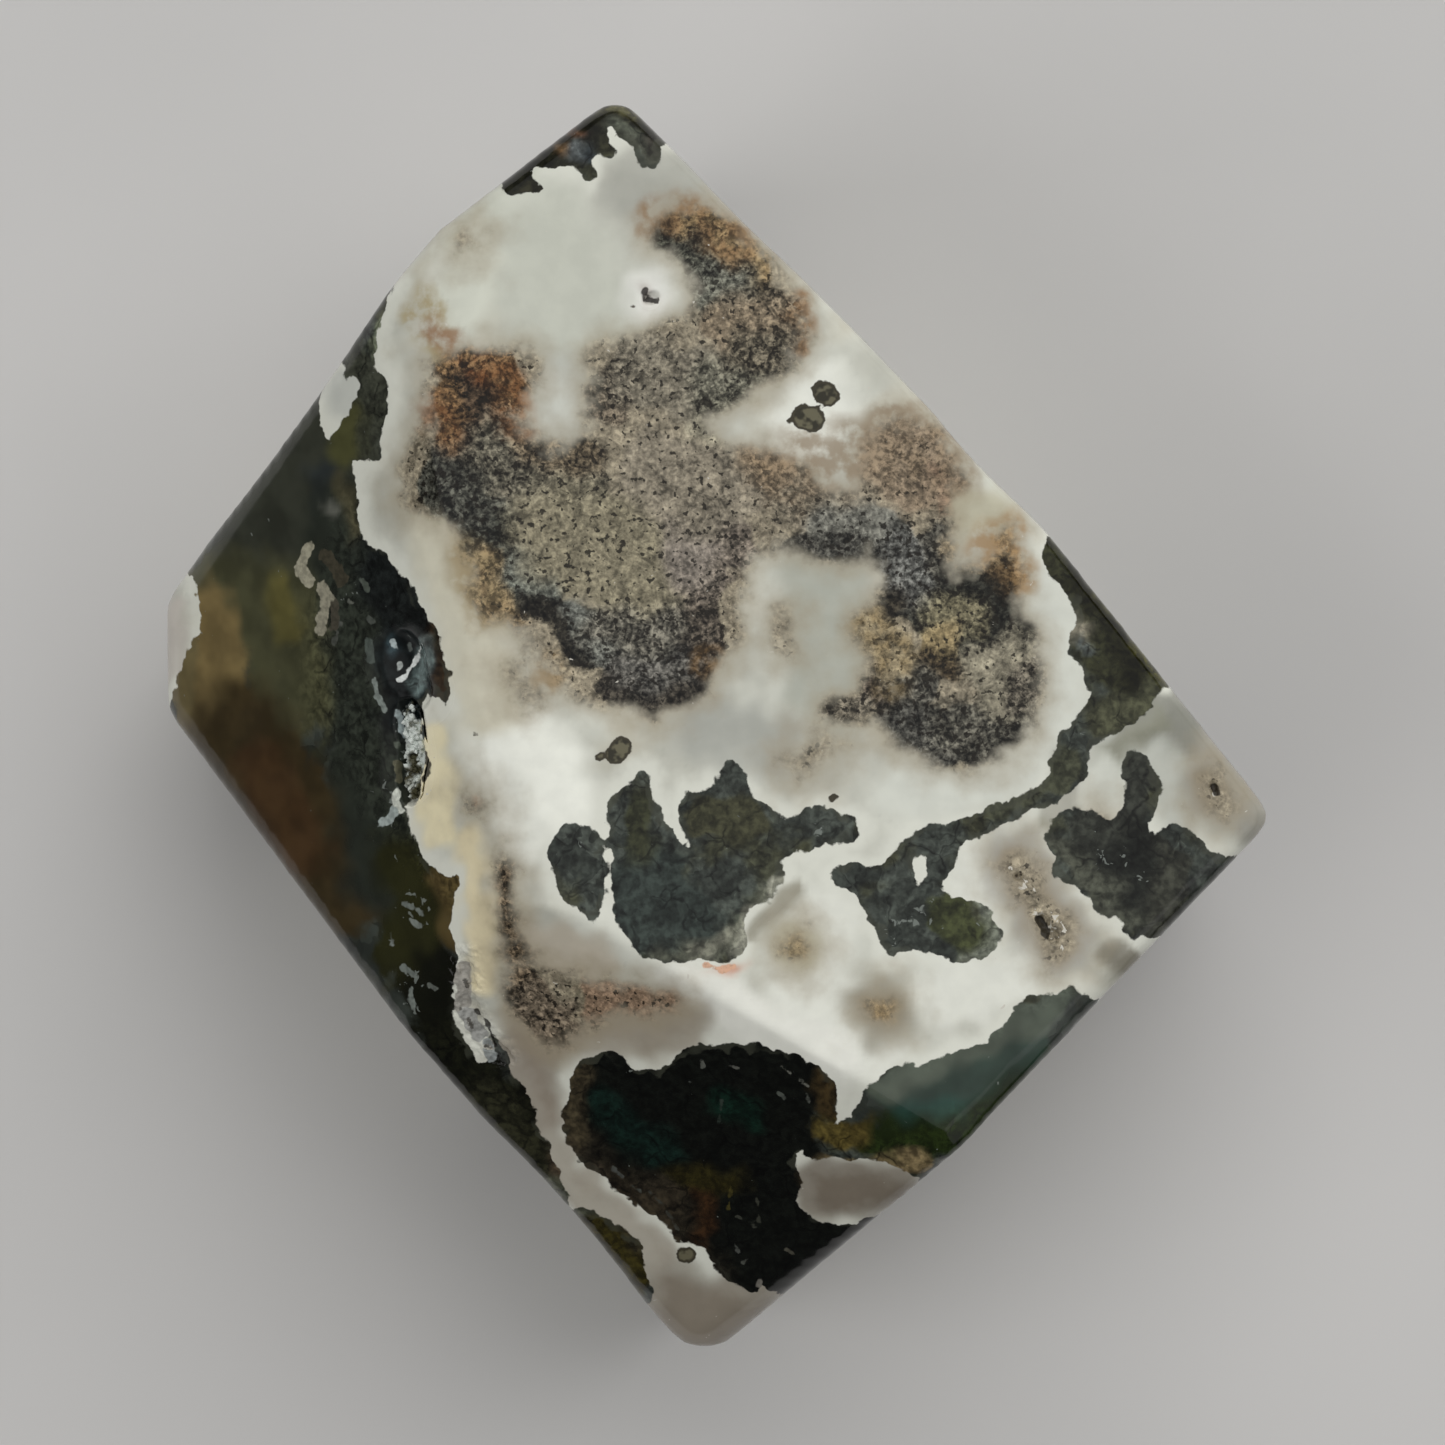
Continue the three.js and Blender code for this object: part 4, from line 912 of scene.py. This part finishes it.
# The pale chalcedony: brightest beside the moss, clouded and warmer elsewhere.
cloudy = rise(tree, cloud(tree, place, 5.0, 3.0), 0.36, 0.66)
pale = mixed(tree, cloudy, tone(212, 213, 201), tone(188, 188, 176))
warm = rise(tree, cloud(tree, place, 4.0, 2.0), 0.50, 0.72, 0.0, 0.5)
pale = mixed(tree, warm, pale, tone(190, 182, 160))
paint = attribute(tree, "pale_paint")
pale = mixed(tree, paint.outputs["Alpha"], pale, paint.outputs["Color"])
pale = lit(tree, pale, rise(tree, cloud(tree, place, 1.2, 3.0), 0.3, 0.7, 0.96, 1.03))
beside = rise(tree, edge, -1.3, -0.15, 0.0, 0.75)
beside = sum_up(tree, "MULTIPLY", beside, rise(tree, paint.outputs["Alpha"], 0.0, 1.0, 1.0, 0.18))
pale = mixed(tree, beside, pale, tone(226, 227, 215))

# The grain fields: crystals too fine to tell apart, cut across, each with its own direction. They
# are tan, darker and greyer in the dark zones, and smoother in the calm ones.
crystal_cells = cells(tree, bent, 0.8)
heading = put(tree, "ShaderNodeVectorMath", {0: crystal_cells.outputs["Color"],
                                             1: (0.5, 0.5, 0.5)}, operation="SUBTRACT")
across = put(tree, "ShaderNodeVectorMath", {0: place, 1: heading.outputs[0]},
             operation="DOT_PRODUCT")
fibres = put(tree, "ShaderNodeTexNoise", {"W": across.outputs["Value"], "Scale": 11.0,
                                          "Detail": 2.0}, noise_dimensions="1D")
crumbs = put(tree, "ShaderNodeTexNoise",
             {"Vector": place, "Scale": 3.4, "Detail": 3.0, "Roughness": 0.65, "Distortion": 0.3})
clumps = cloud(tree, bent, 1.1, 3.0)
patches = cloud(tree, place, 0.62, 2.0)
grit = sum_up(tree, "MULTIPLY", fibres.outputs["Fac"], 0.14)
grit = sum_up(tree, "MULTIPLY_ADD", crumbs.outputs["Fac"], 0.50, grit)
grit = sum_up(tree, "MULTIPLY_ADD", patches, 0.20, grit)
grit = sum_up(tree, "MULTIPLY_ADD", clumps, 0.16, grit)
field = attribute(tree, "grain_depth").outputs["Fac"]
field = sum_up(tree, "MULTIPLY_ADD", cloud(tree, place, 1.6, 4.0), 2.6, field)
field = sum_up(tree, "SUBTRACT", field, 1.3)
field_share = rise(tree, field, -0.5, 0.7)
halo = rise(tree, field, -1.8, 0.2, 0.0, 0.62)
ground = mixed(tree, halo, pale, tone(160, 148, 124))
calm = attribute(tree, "calm").outputs["Fac"]
grains = mixed(tree, calm, tone(138, 129, 110), tone(120, 115, 95))
tint = attribute(tree, "grain_paint")
tint_share = sum_up(tree, "MULTIPLY_ADD", cloud(tree, place, 0.8, 3.0), 0.7,
                    tint.outputs["Alpha"])
grains = mixed(tree, rise(tree, tint_share, 0.45, 1.0), grains, tint.outputs["Color"])
mottle = rise(tree, cloud(tree, place, 1.5, 4.0), 0.34, 0.66, 0.80, 1.32)
mottle = put(tree, "ShaderNodeMix", {0: calm, 2: mottle, 3: 1.0}).outputs[0]
grains = lit(tree, grains, mottle)
dim = rise(tree, grains, 0.05, 0.20, 1.0, 0.0)
even = contrast(tree, grit, {0.40: 0.68, 0.46: 0.90, 0.50: 1.0, 0.54: 1.11, 0.60: 1.30})
harsh = contrast(tree, grit, {0.42: 0.34, 0.46: 0.68, 0.50: 0.98, 0.54: 1.30, 0.60: 1.80})
grains = lit(tree, grains, put(tree, "ShaderNodeMix", {0: dim, 2: even, 3: harsh}).outputs[0])
speck = sum_up(tree, "MULTIPLY_ADD", calm, 0.02, cloud(tree, place, 0.36, 2.0))
speck = rise(tree, sum_up(tree, "MULTIPLY_ADD", dim, 0.04, speck), 0.60, 0.66, 0.0, 0.9)
grains = mixed(tree, speck, grains, tone(28, 25, 20))
ground = mixed(tree, field_share, ground, grains)
stain = attribute(tree, "stain_paint")
stain_share = rise(tree, cloud(tree, place, 0.9, 4.0), 0.34, 0.62, 0.15, 0.8)
stain_share = sum_up(tree, "MULTIPLY", stain_share, stain.outputs["Alpha"])
stain_grain = rise(tree, grit, 0.42, 0.58, 0.30, 1.25)
stain_dark = rise(tree, dim, 0.0, 1.0, 1.0, 0.62)
stain_grain = sum_up(tree, "MULTIPLY", stain_grain, stain_dark)
stain_grain = put(tree, "ShaderNodeMix", {0: field_share, 2: 1.0, 3: stain_grain}).outputs[0]
ground = mixed(tree, stain_share, ground, lit(tree, stain.outputs["Color"], stain_grain))

# The moss over the rest, then the small ringed spots, and the chips of rock with the marks of
# painted highlight, glint and shade among them.
surface = mixed(tree, moss_share, ground, moss)
pale_fleck = sum_up(tree, "SUBTRACT", fleck_and_glint, moss_share)
surface = mixed(tree, rise(tree, pale_fleck, 0.0, 0.8), surface, tone(206, 202, 190))
ring = attribute(tree, "ringed").outputs["Fac"]
ring = sum_up(tree, "MULTIPLY_ADD", cloud(tree, place, 0.5, 2.0), 0.36, ring)
spot_body = rise(tree, ring, 0.17, 0.25)
spot_centre = rise(tree, ring, 0.30, 0.42)
centre_tone = mixed(tree, rise(tree, cloud(tree, place, 0.7, 2.0), 0.42, 0.56), tone(52, 50, 40),
                    tone(104, 100, 80))
spot_colour = mixed(tree, spot_centre, tone(62, 58, 46), centre_tone)
surface = mixed(tree, spot_body, surface, spot_colour)
chips_and_painted_light = attribute(tree, "chips_and_painted_light")
mark_depth = sum_up(tree, "MULTIPLY_ADD", cloud(tree, place, 0.6, 2.0), 0.55,
                    chips_and_painted_light.outputs["Alpha"])
mark_grain = rise(tree, cloud(tree, place, 0.3, 2.0), 0.3, 0.7, 0.75, 1.2)
surface = mixed(tree, rise(tree, mark_depth, 0.24, 0.33, 0.0, 0.92), surface,
                lit(tree, chips_and_painted_light.outputs["Color"], mark_grain))

hollow = attribute(tree, "hollow").outputs["Fac"]
waves = put(tree, "ShaderNodeBump", {"Strength": 0.25, "Distance": 0.12 * MM,
                                     "Height": cloud(tree, place, 6.0, 0.0)})
grit_height = sum_up(tree, "SUBTRACT", cloud(tree, place, 0.35, 2.0), 0.5)
grit_height = sum_up(tree, "MULTIPLY", grit_height, hollow)
grit = put(tree, "ShaderNodeBump", {"Strength": 0.6, "Distance": 0.15 * MM, "Height": grit_height,
                                    "Normal": waves.outputs[0]})
shine = rise(tree, cloud(tree, place, 2.5, 2.0), 0.3, 0.7, 0.09, 0.16)
shine = sum_up(tree, "MULTIPLY_ADD", attribute(tree, "dull").outputs["Fac"], 0.24, shine)
polish = put(tree, "ShaderNodeBsdfPrincipled",
             {"Base Color": surface, "Roughness": shine, "IOR": 1.54,
              "Normal": grit.outputs[0]})
put(tree, "ShaderNodeOutputMaterial", {"Surface": polish.outputs[0]})
stone_mesh.materials.append(agate)

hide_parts("stone")
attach(stone, "root")


# The crust of the cleft: small six-sided quartz crystals that grew on the walls of a gap in the
# agate. They are rooted in the crust, point out of it, and were left unpolished.
CRYSTAL_RADIUS = 0.15
CRYSTAL_LENGTH = 0.20
CRYSTALS_PER_AREA = 16.0
CRYSTAL_SEED = 7


def crystal_crust_tree(finish):
    """A node tree that covers a surface with small six-sided crystals."""
    crust_tree = bpy.data.node_groups.new("quartz_crystals", "GeometryNodeTree")
    sockets = crust_tree.interface
    sockets.new_socket("Geometry", in_out="INPUT", socket_type="NodeSocketGeometry")
    for label in ("Crystal radius", "Crystal length", "Crystals per square metre"):
        sockets.new_socket(label, in_out="INPUT", socket_type="NodeSocketFloat")
    sockets.new_socket("Geometry", in_out="OUTPUT", socket_type="NodeSocketGeometry")
    given = put(crust_tree, "NodeGroupInput", {}).outputs
    radius = given["Crystal radius"]
    length = given["Crystal length"]
    prism = put(crust_tree, "GeometryNodeMeshCone",
                {"Vertices": 6, "Radius Top": radius, "Radius Bottom": radius, "Depth": length},
                fill_type="NONE")
    point_length = sum_up(crust_tree, "MULTIPLY", radius, 1.2)
    point = put(crust_tree, "GeometryNodeMeshCone",
                {"Vertices": 6, "Radius Top": 0.0, "Radius Bottom": radius, "Depth": point_length},
                fill_type="NONE")
    lift = put(crust_tree, "ShaderNodeCombineXYZ", {"Z": length})
    raised = put(crust_tree, "GeometryNodeTransform",
                 {"Geometry": point.outputs["Mesh"], "Translation": lift.outputs[0]})
    root = put(crust_tree, "GeometryNodeMeshCircle", {"Vertices": 6, "Radius": radius},
               fill_type="NGON")
    root = put(crust_tree, "GeometryNodeFlipFaces", {"Mesh": root.outputs["Mesh"]})
    crystal = put(crust_tree, "GeometryNodeJoinGeometry", {0: prism.outputs["Mesh"]})
    crust_tree.links.new(raised.outputs[0], crystal.inputs[0])
    crust_tree.links.new(root.outputs[0], crystal.inputs[0])
    closed = put(crust_tree, "GeometryNodeMergeByDistance", {"Geometry": crystal.outputs[0]})
    closed.inputs["Distance"].default_value = 1e-6
    roots = put(crust_tree, "GeometryNodeDistributePointsOnFaces",
                {"Mesh": given["Geometry"], "Density": given["Crystals per square metre"],
                 "Seed": CRYSTAL_SEED})
    spin = put(crust_tree, "FunctionNodeRandomValue",
               {0: (-0.35, -0.35, 0.0), 1: (0.35, 0.35, 6.28), "Seed": CRYSTAL_SEED},
               data_type="FLOAT_VECTOR")
    turned_root = put(crust_tree, "FunctionNodeRotateRotation",
                      {0: roots.outputs["Rotation"], 1: spin.outputs[0]}, rotation_space="LOCAL")
    growth = put(crust_tree, "FunctionNodeRandomValue",
                 {2: 0.55, 3: 1.25, "Seed": CRYSTAL_SEED + 1}, data_type="FLOAT")
    grown = put(crust_tree, "GeometryNodeInstanceOnPoints",
                {"Points": roots.outputs["Points"], "Instance": closed.outputs[0],
                 "Rotation": turned_root.outputs[0], "Scale": growth.outputs[1]})
    whole = put(crust_tree, "GeometryNodeJoinGeometry", {0: given["Geometry"]})
    crust_tree.links.new(grown.outputs[0], whole.inputs[0])
    real = put(crust_tree, "GeometryNodeRealizeInstances", {0: whole.outputs[0]})
    finished = put(crust_tree, "GeometryNodeSetMaterial",
                   {"Geometry": real.outputs[0], "Material": finish})
    put(crust_tree, "NodeGroupOutput", {0: finished.outputs[0]})
    return crust_tree


quartz = fresh_material("vug_quartz")
tree = quartz.node_tree
place = in_millimetres(tree)
northing = put(tree, "ShaderNodeSeparateXYZ", {0: place}).outputs["Y"]
milky = rise(tree, northing, -2.2, -1.2, -0.12, 0.08)
milky = sum_up(tree, "ADD", milky, rise(tree, northing, 0.7, 1.4, 0.0, -0.24))
milky = sum_up(tree, "ADD", cloud(tree, place, 1.3, 1.0), milky)
milky = rise(tree, milky, 0.44, 0.56)
dusty = rise(tree, cloud(tree, place, 0.6, 2.0), 0.56, 0.68, 0.0, 0.8)
# Where the crust isn't milky it is dark, olive low down and dark teal higher up: partly the rock's
# colour, partly painted shade in the gaps between the crystals.
dark_rock_and_shade = mixed(tree, rise(tree, northing, -1.6, 0.6), tone(66, 64, 46), tone(26, 34, 34))
crystal_colour = mixed(tree, milky, dark_rock_and_shade, tone(214, 220, 214))
crystal_colour = mixed(tree, dusty, crystal_colour, tone(84, 84, 64))
facets = put(tree, "ShaderNodeBsdfPrincipled",
             {"Base Color": crystal_colour, "IOR": 1.54,
              "Roughness": rise(tree, cloud(tree, place, 0.6), 0.3, 0.7, 0.10, 0.30)})
put(tree, "ShaderNodeOutputMaterial", {"Surface": facets.outputs[0]})

crust_mesh = bpy.data.meshes.new("crust_base")
merged_copy("vug_crystals").to_mesh(crust_mesh)
crust_base = bpy.data.objects.new("crust_base", crust_mesh)
bpy.context.scene.collection.objects.link(crust_base)
grower = crust_base.modifiers.new("crystals", "NODES")
grower.node_group = crystal_crust_tree(quartz)
sizes = {"Crystal radius": CRYSTAL_RADIUS * MM, "Crystal length": CRYSTAL_LENGTH * MM,
         "Crystals per square metre": CRYSTALS_PER_AREA / MM ** 2}
for item in grower.node_group.interface.items_tree:
    if item.name in sizes:
        grower[item.identifier] = sizes[item.name]
depsgraph = bpy.context.evaluated_depsgraph_get()
crust_mesh = bpy.data.meshes.new_from_object(crust_base.evaluated_get(depsgraph))
bpy.data.objects.remove(crust_base)
crust = bpy.data.objects.new("vug_crystal_crust", crust_mesh)
bpy.context.scene.collection.objects.link(crust)

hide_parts("vug_crystals")
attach(crust, "root")


# The floor: a plain pale sheet under the stone. It isn't part of the stone.
FLOOR_WIDTH = 1600.0
floor_mesh = bpy.data.meshes.new("floor")
half = FLOOR_WIDTH * MM / 2
floor_mesh.from_pydata([(-half, -half, 0.0), (half, -half, 0.0), (half, half, 0.0),
                        (-half, half, 0.0)], [], [(0, 1, 2, 3)])
floor = bpy.data.objects.new("floor", floor_mesh)
bpy.context.scene.collection.objects.link(floor)
paper = fresh_material("plain_pale_floor")
tree = paper.node_tree
fibre = cloud(tree, in_millimetres(tree), 30.0, 2.0)
sheet = put(tree, "ShaderNodeBsdfPrincipled",
            {"Base Color": mixed(tree, fibre, tone(198, 197, 195), tone(208, 206, 204)),
             "Roughness": 0.9})
put(tree, "ShaderNodeOutputMaterial", {"Surface": sheet.outputs[0]})
floor_mesh.materials.append(paper)


# The light: a dim panel overhead, which the top face mirrors as a faint haze, a broad window on
# the far side, a small fill on the near side, and a reflector that the edge bevel mirrors.
PANEL_AT = (120.0, 200.0, 600.0)
PANEL_WIDTH = 1700.0
PANEL_BRIGHTNESS = 0.28
WINDOW_WIDTH = 1600.0
WINDOW_DISTANCE = 1000.0
WINDOW_HEADING = 60.0
WINDOW_ELEVATION = 36.0
WINDOW_BRIGHTNESS = 1.57
REFLECTOR_WIDTH = 420.0
REFLECTOR_DISTANCE = 600.0
REFLECTOR_HEADING = -36.0
REFLECTOR_ELEVATION = 34.0
REFLECTOR_BRIGHTNESS = 0.3
FILL_WIDTH = 500.0
FILL_DISTANCE = 800.0
FILL_HEADING = 200.0
FILL_ELEVATION = 45.0
FILL_BRIGHTNESS = 2.5
ROOM_BRIGHTNESS = 0.05


def soft_panel(name, width, at, brightness):
    """A square light, width millimetres wide, that faces the stone and is that bright to look at."""
    light = bpy.data.lights.new(name, "AREA")
    light.shape = "SQUARE"
    light.size = width * MM
    light.energy = brightness * math.pi * light.size ** 2
    panel = bpy.data.objects.new(name, light)
    panel.location = Vector(at) * MM
    panel.rotation_euler = panel.location.to_track_quat("Z", "Y").to_euler()
    panel.visible_camera = False
    bpy.context.scene.collection.objects.link(panel)
    return panel


def in_direction(heading, elevation, distance):
    """The place at a distance from the stone, by its compass heading and height in degrees."""
    heading = math.radians(heading)
    elevation = math.radians(elevation)
    level = math.cos(elevation)
    return distance * Vector((math.cos(heading) * level, math.sin(heading) * level,
                              math.sin(elevation)))


soft_panel("overhead_panel", PANEL_WIDTH, PANEL_AT, PANEL_BRIGHTNESS)
window_at = in_direction(WINDOW_HEADING, WINDOW_ELEVATION, WINDOW_DISTANCE)
far_window = soft_panel("far_window", WINDOW_WIDTH, window_at, WINDOW_BRIGHTNESS)
far_window.visible_glossy = False
reflector_at = in_direction(REFLECTOR_HEADING, REFLECTOR_ELEVATION, REFLECTOR_DISTANCE)
soft_panel("side_reflector", REFLECTOR_WIDTH, reflector_at, REFLECTOR_BRIGHTNESS)
fill_at = in_direction(FILL_HEADING, FILL_ELEVATION, FILL_DISTANCE)
near_fill = soft_panel("near_fill", FILL_WIDTH, fill_at, FILL_BRIGHTNESS)
near_fill.visible_glossy = False
room = bpy.data.worlds.new("dim_room")
room.use_nodes = True
room.node_tree.nodes["Background"].inputs["Color"].default_value = (1.0, 1.0, 1.0, 1.0)
room.node_tree.nodes["Background"].inputs["Strength"].default_value = ROOM_BRIGHTNESS
bpy.context.scene.world = room
bpy.context.scene.view_settings.view_transform = "Standard"


# The camera: straight above the stone, as the photograph was taken.
CAMERA_AT = (0.95, 0.70, 315.0)
camera_data = bpy.data.cameras.new("camera")
camera_data.sensor_width = 36.0
camera_data.lens = 131.8
camera_data.clip_start = 0.01
camera = bpy.data.objects.new("camera", camera_data)
camera.location = Vector(CAMERA_AT) * MM
bpy.context.scene.collection.objects.link(camera)
bpy.context.scene.camera = camera
